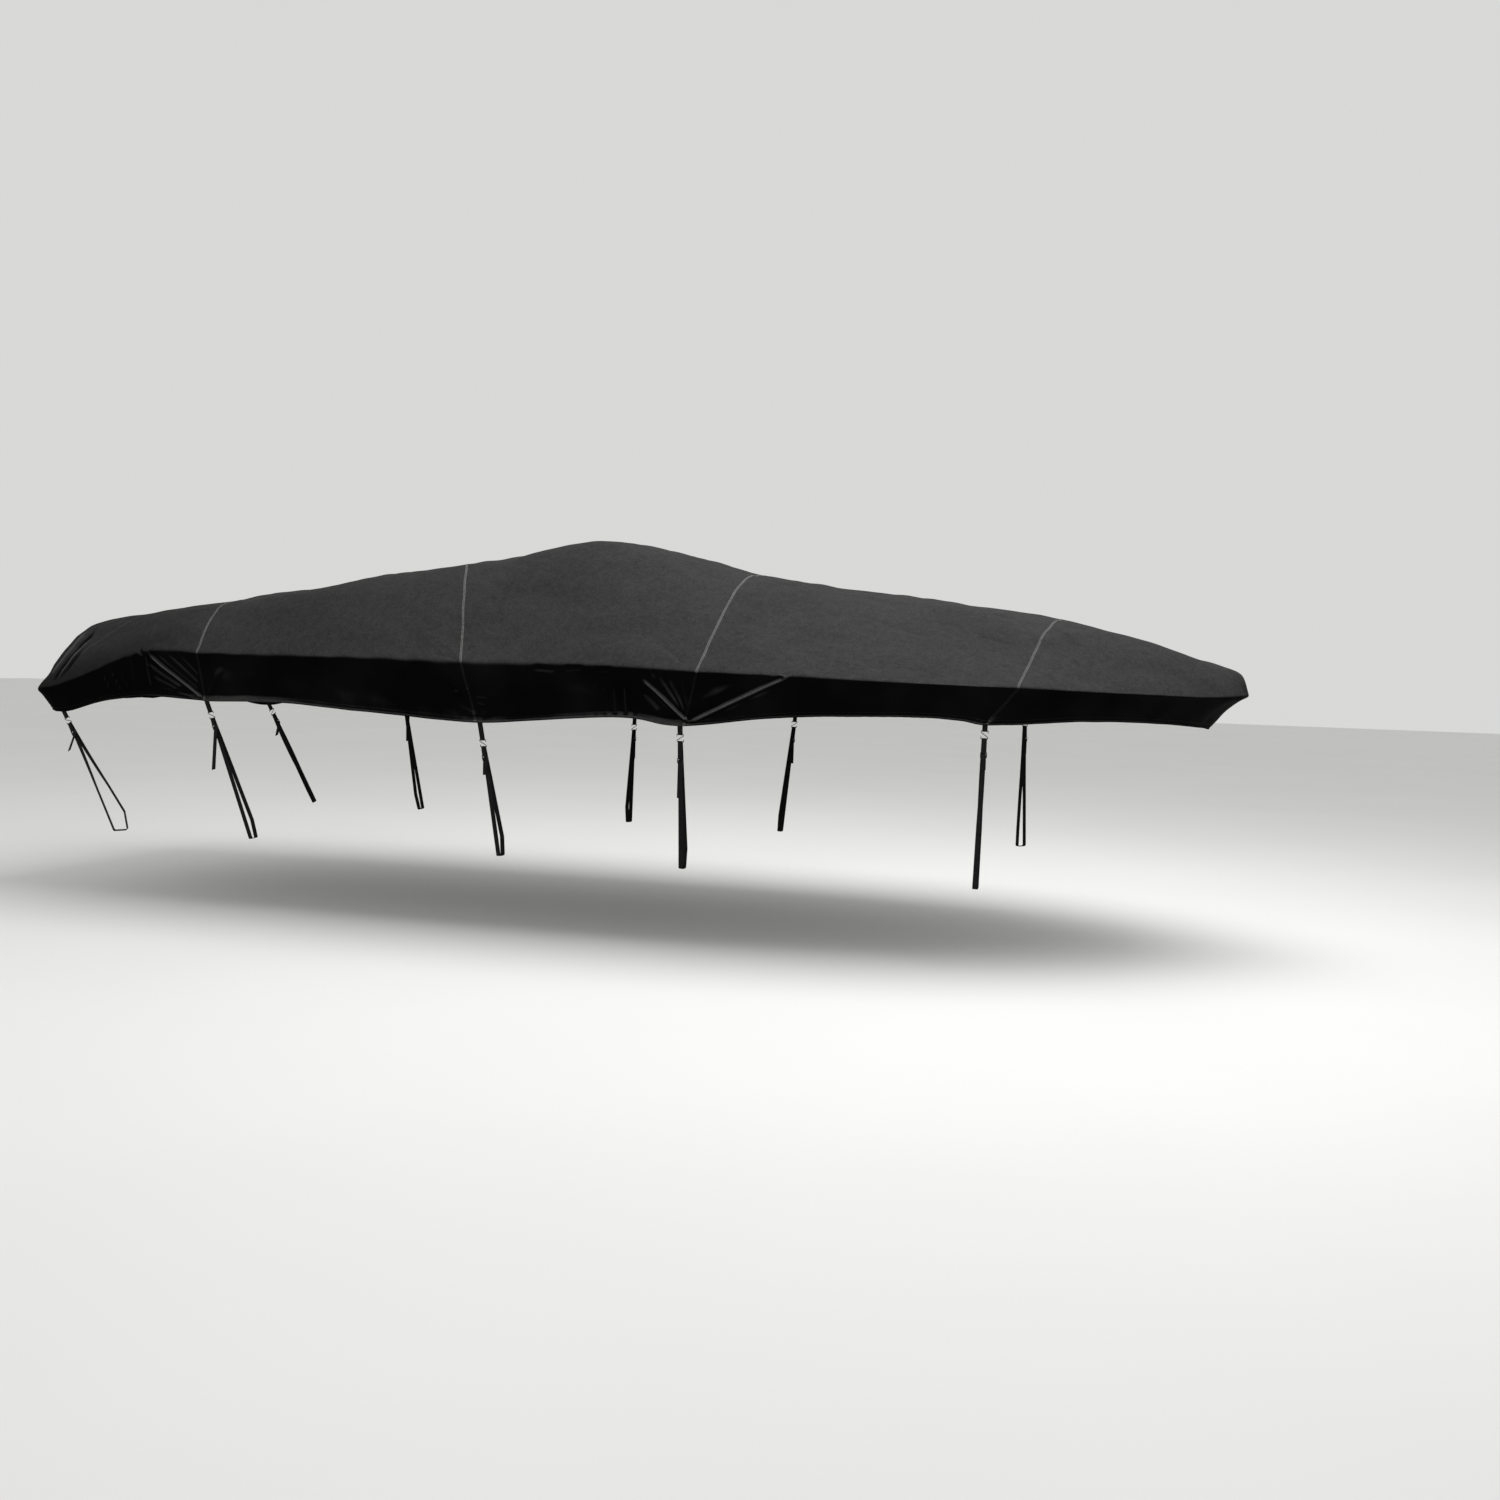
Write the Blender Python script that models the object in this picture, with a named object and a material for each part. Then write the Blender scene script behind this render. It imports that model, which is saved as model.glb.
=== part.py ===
"""Fitted boat cover with ten tie-down straps, as it hangs when it is pulled tight: 6.7 m long, 2.4 m wide.

Frame: +X to the bow end, +Y to port, +Z up. The origin lies on the inner face of the cloth under the
highest part of the crown, where the cover is held up. Heights in the tables are above the ground.

The cloth is one surface of ribs. A rib starts on the spine, the line along the middle of the top, runs
out to the edge crease and on down the skirt to the hem. Four ribs are seams, which part the cloth into
five panels. Each strap is one webbing band: from the buckle up over a wire hook, down to its foot, round
it, up again through the buckle and out as a free tail. A short webbing tab holds the hook to the hem.
"""
import math

import bpy
import numpy as np

MM = 0.001

# Cloth
ORIGIN_HEIGHT = 2.1475
CLOTH = 2.5 * MM
SEAM_GAP = 0.3 * MM

# Plan of the edge crease
HALF_BEAM = 1.20
STERN_X = -3.14
STERN_BULGE = 0.04
STERN_HALF = 1.09
CORNER_RADIUS = 0.10
SIDE_TAPER = 0.10
SIDE_TAPER_LENGTH = 3.50
BOW_START_X = 0.78
BOW_LENGTH = 2.845
BOW_FULLNESS = 2.6
BOW_BLUNTNESS = 1.4

# Top of each rib. The flank is the steep part that rises from the edge crease over the length of the
# run, and above it the cloth rises gently to the spine.
TOP_COLUMNS = ("edge_x", "edge_z", "flank", "run", "spine_x", "spine_z")
TOP_ROWS = (
    (-3.14, 1.215, 0.330, 0.24, -2.46, 1.680),
    (-3.11, 1.212, 0.335, 0.23, -2.42, 1.688),
    (-3.06, 1.204, 0.352, 0.28, -2.33, 1.706),
    (-2.80, 1.275, 0.315, 0.31, -2.24, 1.724),
    (-2.54, 1.371, 0.265, 0.28, -2.19, 1.740),
    (-2.29, 1.445, 0.225, 0.24, -2.14, 1.765),
    (-1.95, 1.446, 0.240, 0.22, -2.07, 1.800),
    (-1.42, 1.446, 0.330, 0.25, -1.52, 1.875),
    (-0.92, 1.443, 0.430, 0.33, -1.05, 1.955),
    (-0.31, 1.442, 0.540, 0.46, -0.49, 2.045),
    (0.05, 1.441, 0.600, 0.50, -0.13, 2.125),
    (0.28, 1.444, 0.630, 0.52, 0.12, 2.150),
    (0.62, 1.441, 0.600, 0.60, 0.55, 2.080),
    (0.98, 1.431, 0.520, 0.75, 0.98, 1.985),
    (1.48, 1.421, 0.450, 0.80, 1.50, 1.918),
    (1.98, 1.407, 0.395, 0.80, 2.04, 1.860),
    (2.53, 1.396, 0.305, 0.70, 2.65, 1.773),
    (2.93, 1.383, 0.225, 0.45, 2.96, 1.692),
    (3.28, 1.371, 0.147, 0.23, 3.16, 1.633),
    (3.48, 1.367, 0.104, 0.10, 3.26, 1.590),
    (3.625, 1.376, 0.090, 0.04, 3.33, 1.560),
)
KNEE = 0.2
CROWN_POWER = 1.7
SKIRT_TURN = 0.7

# Skirt below the edge crease: how far it drops, how far the hem lies in towards the spine, and how far
# the hem leans along the edge, forward positive.
SKIRT_COLUMNS = ("edge_x", "drop", "inset", "lean")
SKIRT_ROWS = (
    (-3.14, 0.070, 0.090, 0.00),
    (-3.10, 0.112, 0.080, 0.00),
    (-3.04, 0.128, 0.080, 0.00),
    (-2.90, 0.152, 0.070, 0.00),
    (-2.72, 0.170, 0.050, 0.00),
    (-2.45, 0.222, 0.045, 0.00),
    (-2.25, 0.260, 0.040, 0.01),
    (-1.95, 0.266, 0.040, 0.04),
    (-1.55, 0.258, 0.040, 0.00),
    (-0.90, 0.285, 0.040, 0.00),
    (-0.31, 0.316, 0.040, 0.08),
    (0.10, 0.292, 0.040, 0.00),
    (0.60, 0.257, 0.040, 0.00),
    (0.98, 0.276, 0.040, -0.07),
    (1.30, 0.222, 0.045, 0.00),
    (1.80, 0.180, 0.055, 0.00),
    (2.10, 0.168, 0.060, 0.00),
    (2.30, 0.172, 0.065, -0.05),
    (2.53, 0.184, 0.070, -0.17),
    (2.85, 0.148, 0.085, -0.05),
    (3.28, 0.146, 0.110, 0.00),
    (3.48, 0.155, 0.150, 0.00),
    (3.625, 0.172, 0.205, 0.00),
)

# Ribs of the mesh, counted in stretches of the edge crease. Each seam ends a stretch.
STRETCH_COLUMNS = ("to_x", "ribs", "seam")
STRETCH_ROWS = (
    (-3.10, 4, False),
    (-3.05, 2, False),
    (-2.95, 3, False),
    (-2.55, 3, False),
    (-1.95, 9, True),
    (-0.55, 6, False),
    (-0.31, 2, True),
    (-0.07, 2, False),
    (0.58, 4, False),
    (0.98, 6, True),
    (1.46, 6, False),
    (2.53, 6, True),
    (3.28, 4, False),
    (3.50, 3, False),
    (3.625, 4, False),
)
# On the top a rib's points slide along the cloth, from nothing at the edge crease to this far at the spine.
SLIDE_COLUMNS = ("edge_x", "slide")
SLIDE_ROWS = (
    (-1.95, 0.0),
    (-0.31, -0.39),
    (0.98, 0.0),
)
TOP_LEVELS = (0.0, 0.25, 0.45, 0.6, 0.72, 0.81, 0.88, 0.94, 1.0)
SKIRT_LEVELS = (0.1, 0.32, 0.55, 0.78, 1.0)

# Main folds: soft ridges from one place on the cloth to another. A level is 0 on the edge crease, 1 on
# the hem and -1 on the spine, and the side is -1 for starboard and 1 for port.
FOLD_PEAK = 2.6
FOLD_COLUMNS = ("side", "from_x", "from_level", "to_x", "to_level", "width", "height")
FOLD_ROWS = (
    (-1, -1.95, 0.98, -2.27, 0.10, 0.030, 0.016),
    (-1, -2.02, 0.98, -2.26, 0.55, 0.028, 0.010),
    (-1, 0.96, 0.98, 0.66, 0.20, 0.030, 0.016),
    (-1, 0.98, 0.90, 0.80, 0.10, 0.028, 0.010),
    (-1, 1.02, 0.98, 1.44, 0.02, 0.030, 0.016),
    (-1, -2.93, -0.10, -2.66, -0.30, 0.040, 0.010),
    (1, -1.96, 0.98, -2.22, 0.15, 0.030, 0.014),
    (1, -1.90, 0.90, -1.72, 0.20, 0.030, 0.010),
    (1, 0.94, 0.98, 0.62, 0.12, 0.032, 0.016),
    (1, 1.04, 0.95, 1.32, 0.10, 0.030, 0.014),
    (1, -2.90, -0.12, -2.60, -0.28, 0.040, 0.010),
)

# Tie-down straps. The rib gives the place on the hem, seat how far in from the hem's outer face the tab is
# sewn, and tab how far it hangs below. The foot is the lower loop, open over a space FOOT_DEPTH high and
# foot_width wide. The strap faces straight out to the side there, turned aft by foot_angle in degrees. The
# buckle lies a length below the hook, and the tail hangs from it, swung aft by a share of its length.
WEB_WIDTH = 25 * MM
WEB = 2 * MM
PIECE_GAP = 0.5 * MM
LOOP = 3.5 * MM
LOOP_CORNER = 3.2 * MM
ARC_STEPS = 3
RUN_STEP = 0.09
TAB_SEWN = 18 * MM
TAB_CLEAR = 3 * MM
HEM_REACH = 0.03
FOOT_HEIGHT = 0.41
FOOT_DEPTH = 0.10
FOOT_CORNER = 10 * MM
TURN_START = 0.22
TURN_END = 0.50
STRAP_COLUMNS = ("name", "side", "rib_x", "seat", "tab", "hook_face", "buckle", "tail", "swing",
                 "foot_x", "foot_y", "foot_width", "foot_angle")
STRAP_ROWS = (
    ("starboard_stern", -1, -2.975, 0.0043, 0.045, 1, 0.060, 0.090, 0.40, -2.549, 1.000, 0.077, 30),
    ("starboard_aft", -1, -1.95, 0.0028, 0.070, 1, 0.048, 0.220, 0.05, -1.700, 0.955, 0.050, 0),
    ("starboard_middle", -1, -0.29, 0.0025, 0.098, 1, 0.060, 0.070, 0.0, -0.175, 0.955, 0.050, 0),
    ("starboard_forward", -1, 0.957, 0.0020, 0.050, -1, 0.100, 0.170, 0.0, 0.852, 0.955, 0.050, 0),
    ("starboard_bow", -1, 2.53, 0.0036, 0.036, 1, 0.078, 0.055, 0.0, 2.363, 0.955, 0.050, 0),
    ("port_stern", 1, -2.975, 0.0043, 0.045, 1, 0.060, 0.080, 0.20, -2.549, 1.000, 0.077, 30),
    ("port_aft", 1, -1.95, 0.0028, 0.068, -1, 0.052, 0.150, 0.0, -1.690, 0.955, 0.050, 0),
    ("port_middle", 1, -0.29, 0.0025, 0.090, 1, 0.060, 0.110, 0.0, -0.170, 0.955, 0.050, 0),
    ("port_forward", 1, 0.957, 0.0020, 0.055, 1, 0.085, 0.130, 0.0, 0.860, 0.955, 0.050, 0),
    ("port_bow", 1, 2.53, 0.0036, 0.036, -1, 0.078, 0.070, 0.0, 2.380, 0.955, 0.066, -35),
)

# Wire hook: a flat S of round wire
WIRE = 2 * MM
WIRE_SIDES = 6
HOOK_HALF_WIDTH = 17 * MM
HOOK_HALF_HEIGHT = 20 * MM
HOOK_TURN = 12 * MM
HOOK_TIP = 8 * MM
HOOK_CORNER = 3 * MM

# Buckle: a flat ladder of two side rails and three bars
BAR = 2.4 * MM
BAR_SPACING = 12 * MM
RAIL_WIDTH = 4 * MM
BUCKLE_OUT = 4.5 * MM
SEWN_END = 22 * MM
BUCKLE_CLEAR = 6 * MM

COLOURS = {
    "cover_polyester": ((0.022, 0.022, 0.023), 0.85, 0.0),
    "strap_webbing": ((0.012, 0.012, 0.013), 0.7, 0.0),
    "hook_steel": ((0.62, 0.62, 0.60), 0.3, 1.0),
    "buckle_plastic": ((0.015, 0.015, 0.016), 0.4, 0.0),
}


# Plan, ribs and surface -----------------------------------------------------------------------

def outline():
    """Points of the edge crease in plan, |y| positive, from the middle of the stern to the bow tip."""
    across = np.linspace(0.0, STERN_HALF - CORNER_RADIUS, 40)
    stern = np.stack([STERN_X + STERN_BULGE * (across / STERN_HALF) ** 2, across], axis=1)
    centre = stern[-1] + (CORNER_RADIUS, 0.0)
    turn = np.linspace(0.0, math.pi / 2, 20)[1:]
    corner = centre + CORNER_RADIUS * np.stack([-np.cos(turn), np.sin(turn)], axis=1)
    along = np.linspace(corner[-1, 0], BOW_START_X, 80)[1:]
    taper = SIDE_TAPER * ((BOW_START_X - along) / SIDE_TAPER_LENGTH) ** 2
    side = np.stack([along, HALF_BEAM - taper], axis=1)
    angle = np.linspace(0.0, math.pi / 2, 160)[1:]
    bow = np.stack([
        BOW_START_X + BOW_LENGTH * np.sin(angle) ** (2.0 / BOW_FULLNESS),
        HALF_BEAM * np.abs(np.cos(angle)) ** BOW_BLUNTNESS,
    ], axis=1)
    return np.concatenate([stern, corner, side, bow])


OUTLINE = outline()
OUTLINE_S = np.concatenate([[0.0], np.cumsum(np.linalg.norm(np.diff(OUTLINE, axis=0), axis=1))])


def edge_length(x):
    """Distance along the edge crease, from the middle of the stern, at which it reaches x."""
    return np.interp(x, OUTLINE[:, 0], OUTLINE_S)


def column(rows, columns, name):
    """One named column of a table."""
    return np.array([row[columns.index(name)] for row in rows], dtype=float)


def smooth(s, places, values):
    """Cubic curve through a table's values, with the slope at each place taken from its neighbours."""
    slopes = np.gradient(values, places)
    k = np.clip(np.searchsorted(places, s, side="right") - 1, 0, len(places) - 2)
    span = places[k + 1] - places[k]
    t = (s - places[k]) / span
    start = (2 * t ** 3 - 3 * t ** 2 + 1) * values[k] + (t ** 3 - 2 * t ** 2 + t) * span * slopes[k]
    end = (3 * t ** 2 - 2 * t ** 3) * values[k + 1] + (t ** 3 - t ** 2) * span * slopes[k + 1]
    return start + end


def read(s, rows, columns, name):
    """A table's column, read at distances s along the edge crease."""
    return smooth(s, edge_length(column(rows, columns, "edge_x")), column(rows, columns, name))


def ribs(s, top_levels, skirt_levels):
    """Points of the ribs at distances s, |y| positive: an array of rib by level by (x, y, z).

    The top rises from the edge by flank * soft_min(1, distance / run), plus a crown that grows with
    1 - level ** CROWN_POWER. The skirt goes down by drop and in by inset, on a line bowed slightly out.
    """
    top = {name: read(s, TOP_ROWS, TOP_COLUMNS, name) for name in TOP_COLUMNS[1:]}
    skirt = {name: read(s, SKIRT_ROWS, SKIRT_COLUMNS, name) for name in SKIRT_COLUMNS[1:]}
    edge = np.stack([np.interp(s, OUTLINE_S, OUTLINE[:, k]) for k in (0, 1)], axis=1)
    spine = np.stack([top["spine_x"], np.zeros_like(s)], axis=1)
    reach = edge - spine
    length = np.linalg.norm(reach, axis=1)
    v = np.array(top_levels)[None, :]
    plan = spine[:, None, :] + reach[:, None, :] * v[:, :, None]
    ramp = (1.0 - v) * (length / top["run"])[:, None]
    rise = 1.0 - KNEE * np.logaddexp(0.0, (1.0 - ramp) / KNEE)
    crown = (top["spine_z"] - top["edge_z"] - top["flank"])[:, None] * (1.0 - v ** CROWN_POWER)
    height = top["edge_z"][:, None] + top["flank"][:, None] * rise + crown
    upper = np.concatenate([plan, height[:, :, None]], axis=2)
    w = np.array(skirt_levels)[None, :]
    inward = -reach / length[:, None]
    forward = np.gradient(edge, s, axis=0)
    inset = skirt["inset"][:, None] * w ** SKIRT_TURN
    lean = skirt["lean"][:, None] * w
    moved = inward[:, None, :] * inset[:, :, None] + forward[:, None, :] * lean[:, :, None]
    lower_plan = edge[:, None, :] + moved
    lower_height = top["edge_z"][:, None] - skirt["drop"][:, None] * w
    lower = np.concatenate([lower_plan, lower_height[:, :, None]], axis=2)
    points = np.concatenate([upper, lower], axis=1)
    points[:, :, 2] -= ORIGIN_HEIGHT
    return points


def slid_ribs(places):
    """The ribs at places, with the points of their tops slid by the slide times 1 - level."""
    half = ribs(places, TOP_LEVELS, SKIRT_LEVELS)
    starts = edge_length(column(SLIDE_ROWS, SLIDE_COLUMNS, "edge_x"))
    slide = np.interp(places, starts, column(SLIDE_ROWS, SLIDE_COLUMNS, "slide"))
    for number, level in enumerate(TOP_LEVELS):
        half[:, number] = ribs(places + slide * (1.0 - level), (level,), ())[:, 0]
    return half


def place_on_cloth(x, level, side):
    """The point at a level of the rib whose edge is at x."""
    s = np.array([edge_length(x) - 0.01, edge_length(x), edge_length(x) + 0.01])
    if level > 0:
        point = ribs(s, (1.0,), (level,))[1, 1]
    else:
        point = ribs(s, (1.0 + level,), (1.0,))[1, 0]
    return point * (1.0, side, 1.0)


def fold_height(points, side):
    """How far one side's folds raise the cloth: a bell across each fold, highest a third of the way along."""
    raised = np.zeros(points.shape[:-1])
    for row in FOLD_ROWS:
        fold = dict(zip(FOLD_COLUMNS, row))
        if fold["side"] != side:
            continue
        start = place_on_cloth(fold["from_x"], fold["from_level"], side)
        run = place_on_cloth(fold["to_x"], fold["to_level"], side) - start
        t = np.clip((points - start) @ run / (run @ run), 0.0, 1.0)
        away = np.linalg.norm(points - start - t[..., None] * run, axis=-1)
        along = FOLD_PEAK * np.sqrt(t) * (1.0 - t)
        raised += fold["height"] * along * np.exp(-(away / fold["width"]) ** 2)
    return raised


# The five panels ------------------------------------------------------------------------------

def rib_places():
    """Distances of all ribs along the edge crease, and the numbers of the ribs that are seams."""
    places = [0.0]
    seams = []
    for row in STRETCH_ROWS:
        stretch = dict(zip(STRETCH_COLUMNS, row))
        end = edge_length(stretch["to_x"])
        places.extend(np.linspace(places[-1], end, stretch["ribs"] + 1)[1:])
        if stretch["seam"]:
            seams.append(len(places) - 1)
    return np.array(places), seams


def vertex_normals(points, quads):
    """Unit normals at the points, each the sum of the normals of the faces around it."""
    corners = points[quads]
    face = np.cross(corners[:, 2] - corners[:, 0], corners[:, 3] - corners[:, 1])
    normals = np.zeros_like(points)
    for k in range(4):
        np.add.at(normals, quads[:, k], face)
    size = np.linalg.norm(normals, axis=1, keepdims=True)
    return normals / np.where(size > 0, size, 1.0)


def cloth_grid():
    """All ribs as one sheet: points, quads by rib step, and the seam ribs.

    Points run along each rib from the starboard hem over the spine to the port hem. The first and the
    last rib lie on the middle line, where both sides share their points.
    """
    places, seams = rib_places()
    half = slid_ribs(places)
    count, levels = half.shape[:2]
    starboard = half * (1.0, -1.0, 1.0)
    points = np.concatenate([starboard[:, :0:-1], half], axis=1).reshape(-1, 3)
    across = 2 * levels - 1
    number = np.arange(count * across).reshape(count, across)
    for end in (0, count - 1):
        number[end, :levels - 1] = number[end, :levels - 1:-1]
    quads = np.stack([number[:-1, :-1], number[:-1, 1:], number[1:, 1:], number[1:, :-1]], axis=2)
    quads = quads[:, :, ::-1]
    flat = quads.reshape(-1, 4)
    side = np.where(np.arange(across) < levels, -1, 1)
    normals = vertex_normals(points, flat)
    grid = points.reshape(count, across, 3)
    raised = np.zeros((count, across))
    for one in (-1, 1):
        raised[:, side == one] = fold_height(grid, one)[:, side == one]
    raised[[0, -1]] = 0.0
    points = points + normals * raised.reshape(-1, 1)
    return points, vertex_normals(points, flat), quads, number, seams


def free_edges(quads):
    """Edges that only one quad has, each in that quad's direction."""
    edges = np.concatenate([quads[:, [k, (k + 1) % 4]] for k in range(4)])
    known = set(map(tuple, edges.tolist()))
    return [edge for edge in edges.tolist() if (edge[1], edge[0]) not in known]


def cut_quads(points, quads):
    """Two triangles for each quad, cut along its shorter diagonal."""
    first = np.linalg.norm(points[quads[:, 0]] - points[quads[:, 2]], axis=1)
    second = np.linalg.norm(points[quads[:, 1]] - points[quads[:, 3]], axis=1)
    turned = np.where((first <= second)[:, None], quads, np.roll(quads, -1, axis=1))
    return np.concatenate([turned[:, [0, 1, 2]], turned[:, [0, 2, 3]]])


def rim_triangles(edges, count):
    """The rim that joins edges to their copies count places on, cut alike from both sides of a seam."""
    triangles = []
    for a, b in edges:
        if a < b:
            triangles += [(b, a, a + count), (b, a + count, b + count)]
        else:
            triangles += [(b, a, b + count), (a, a + count, b + count)]
    return triangles


def add_object(name, points, faces, material, smooth_angle):
    """A mesh object with its place in its mesh, smooth but for edges sharper than the angle."""
    mesh = bpy.data.meshes.new(name)
    mesh.from_pydata([tuple(p) for p in points], [], [tuple(f) for f in faces])
    mesh.materials.append(material)
    mesh.shade_smooth()
    mesh.set_sharp_from_angle(angle=math.radians(smooth_angle))
    obj = bpy.data.objects.new(name, mesh)
    bpy.context.scene.collection.objects.link(obj)
    return obj


def add_panel(name, points, normals, quads, material):
    """A panel as a closed sheet: its outer face, an inner face CLOTH below it, and a rim between them.

    The inner face is cut into triangles just as the outer one is, so the cloth is as thick all over.
    """
    used, flat = np.unique(quads, return_inverse=True)
    flat = flat.reshape(-1, 4)
    outer = points[used]
    inner = outer - CLOTH * normals[used]
    count = len(used)
    rim = rim_triangles(free_edges(flat), count)
    above = cut_quads(outer, flat)
    below = above[:, ::-1] + count
    return add_object(name, np.concatenate([outer, inner]), [*above.tolist(), *below.tolist(), *rim],
                      material, 35)


def add_panels(materials):
    """The five panels between the stern, the four seams and the bow, each seam opened by SEAM_GAP."""
    points, normals, quads, number, seams = cloth_grid()
    bounds = [0, *seams, len(quads)]
    names = ("panel_stern", "panel_aft", "panel_middle", "panel_forward", "panel_bow")
    for name, start, end in zip(names, bounds[:-1], bounds[1:]):
        own = points.copy()
        if start > 0:
            own[number[start]] += (SEAM_GAP / 2, 0.0, 0.0)
        if end < len(quads):
            own[number[end]] -= (SEAM_GAP / 2, 0.0, 0.0)
        add_panel(name, own, normals, quads[start:end].reshape(-1, 4), materials["cover_polyester"])


# Straps ---------------------------------------------------------------------------------------

def rounded(corners, radii, steps):
    """A path through corners, each turned on an arc of its radius in a number of steps.

    A corner with no radius stays a plain point.
    """
    corners = np.array(corners, dtype=float)
    path = [corners[0]]
    for before, corner, after, radius in zip(corners[:-2], corners[1:-1], corners[2:], radii):
        if radius == 0.0:
            path.append(corner)
            continue
        back = (before - corner) / np.linalg.norm(before - corner)
        ahead = (after - corner) / np.linalg.norm(after - corner)
        half = 0.5 * math.acos(back @ ahead)
        middle = (back + ahead) / np.linalg.norm(back + ahead)
        centre = corner + middle * radius / math.sin(half)
        first = corner + back * radius / math.tan(half) - centre
        last = corner + ahead * radius / math.tan(half) - centre
        swing = math.pi - 2 * half
        for share in np.linspace(0.0, 1.0, steps + 1):
            turned = math.sin((1 - share) * swing) * first + math.sin(share * swing) * last
            path.append(centre + turned / math.sin(swing))
    path.append(corners[-1])
    return np.array(path)


def divided(path):
    """The path with its long stretches cut into lengths of RUN_STEP or less."""
    parts = []
    for start, end in zip(path[:-1], path[1:]):
        count = math.ceil(np.linalg.norm(end - start) / RUN_STEP)
        parts.extend(start + (end - start) * k / count for k in range(count))
    return np.array([*parts, path[-1]])


def path_sides(path):
    """For each point of a flat path, the direction to its side, lengthened at turns as a mitre is."""
    steps = np.diff(path[:, :2], axis=0)
    steps /= np.linalg.norm(steps, axis=1, keepdims=True)
    before = np.concatenate([steps[:1], steps])
    after = np.concatenate([steps, steps[-1:]])
    side = np.stack([before[:, 1] + after[:, 1], -before[:, 0] - after[:, 0]], axis=1)
    side /= np.linalg.norm(side, axis=1, keepdims=True)
    return side / (side[:, :1] * before[:, 1:] - side[:, 1:] * before[:, :1])


class Frame:
    """A strap's own axes: out to its outer side, up along it and wide across the webbing.

    The origin is top, on the hook's plane beside the hem. Out is out_top there and turns to out_foot
    between TURN_START and TURN_END below it.
    """

    def __init__(self, top, foot, out_top, out_foot):
        self.top = top
        self.foot = foot
        self.foot_side = out_foot / np.linalg.norm(out_foot)
        self.up = (top - foot) / np.linalg.norm(top - foot)
        self.out_top = self.square(out_top)
        self.wide_top = np.cross(self.out_top, self.up)
        turned = self.square(out_foot)
        self.turn = math.atan2(-turned @ self.wide_top, turned @ self.out_top)

    def square(self, direction):
        """A direction made square to the strap's length."""
        direction = direction - (direction @ self.up) * self.up
        return direction / np.linalg.norm(direction)

    def axes(self, heights):
        """The out and the wide direction at heights above the origin."""
        share = np.clip((-heights - TURN_START) / (TURN_END - TURN_START), 0.0, 1.0)
        angle = (self.turn * share)[:, None]
        out = np.cos(angle) * self.out_top - np.sin(angle) * self.wide_top
        return out, np.cross(out, self.up)

    def place(self, path, lift=0.0):
        """The path's (out, up, wide) places set in space, each lifted along its wide direction."""
        out, wide = self.axes(path[:, 1])
        return self.top + path[:, :1] * out + path[:, 1:2] * self.up + (path[:, 2:] + lift) * wide

    def foot_place(self, side, height):
        """The place on the strap's middle plane this far to the foot's outer side and above the foot."""
        out = self.axes(np.array([-TURN_END]))[0][0]
        target = self.foot + side * self.foot_side + (0.0, 0.0, height) - self.top
        matrix = ((out @ self.foot_side, self.up @ self.foot_side), (out[2], self.up[2]))
        return (*np.linalg.solve(matrix, (target @ self.foot_side, target[2])), 0.0)


def add_tube(name, rings, material, smooth_angle):
    """A closed solid through rings of points, from the first ring to the last.

    Walls that face each other are cut into triangles alike, so a twisted tube keeps its thickness.
    """
    spokes = rings[0] - rings[0].mean(axis=0)
    area = np.cross(spokes, np.roll(spokes, -1, axis=0)).sum(axis=0)
    if area @ (rings[1] - rings[0]).mean(axis=0) < 0:
        rings = rings[:, ::-1]
    count, sides = rings.shape[:2]
    number = np.arange(count * sides).reshape(count, sides)
    around = np.roll(number, -1, axis=1)
    walls = np.stack([number[:-1], around[:-1], around[1:], number[1:]], axis=2)
    walls[:, sides // 2:] = np.roll(walls[:, sides // 2:], -1, axis=2)
    walls = walls.reshape(-1, 4)
    cut = np.concatenate([walls[:, [0, 1, 2]], walls[:, [0, 2, 3]]])
    faces = [*cut.tolist(), number[0, ::-1].tolist(), number[-1].tolist()]
    return add_object(name, rings.reshape(-1, 3), faces, material, smooth_angle)


def add_webbing(name, path, frame, material):
    """Webbing along a path in the strap's axes: a section WEB thick and WEB_WIDTH wide."""
    path = divided(path)
    side = np.pad(path_sides(path) * WEB / 2, ((0, 0), (0, 1)))
    half = WEB_WIDTH / 2
    section = ((-1, -half), (1, -half), (1, half), (-1, half))
    corners = [frame.place(path + sign * side, lift) for sign, lift in section]
    return add_tube(name, np.stack(corners, axis=1), material, 35)


def add_tab(name, frame, low, bend, material):
    """The tab: two layers sewn inside the hem, joined by a loop under the hook's upper bar.

    Low is the loop's height, and bend how far the skirt leans in, per length, against the strap.
    """
    lean = bend * (TAB_SEWN + TAB_CLEAR)
    corners = (
        (LOOP - lean, TAB_SEWN, 0.0),
        (LOOP, -TAB_CLEAR, 0.0),
        (LOOP, low, 0.0),
        (-LOOP, low, 0.0),
        (-LOOP, -TAB_CLEAR, 0.0),
        (-LOOP - lean, TAB_SEWN, 0.0),
    )
    path = rounded(corners, (0.0, LOOP_CORNER, LOOP_CORNER, 0.0), ARC_STEPS)
    return add_webbing(name, path, frame, material)


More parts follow.
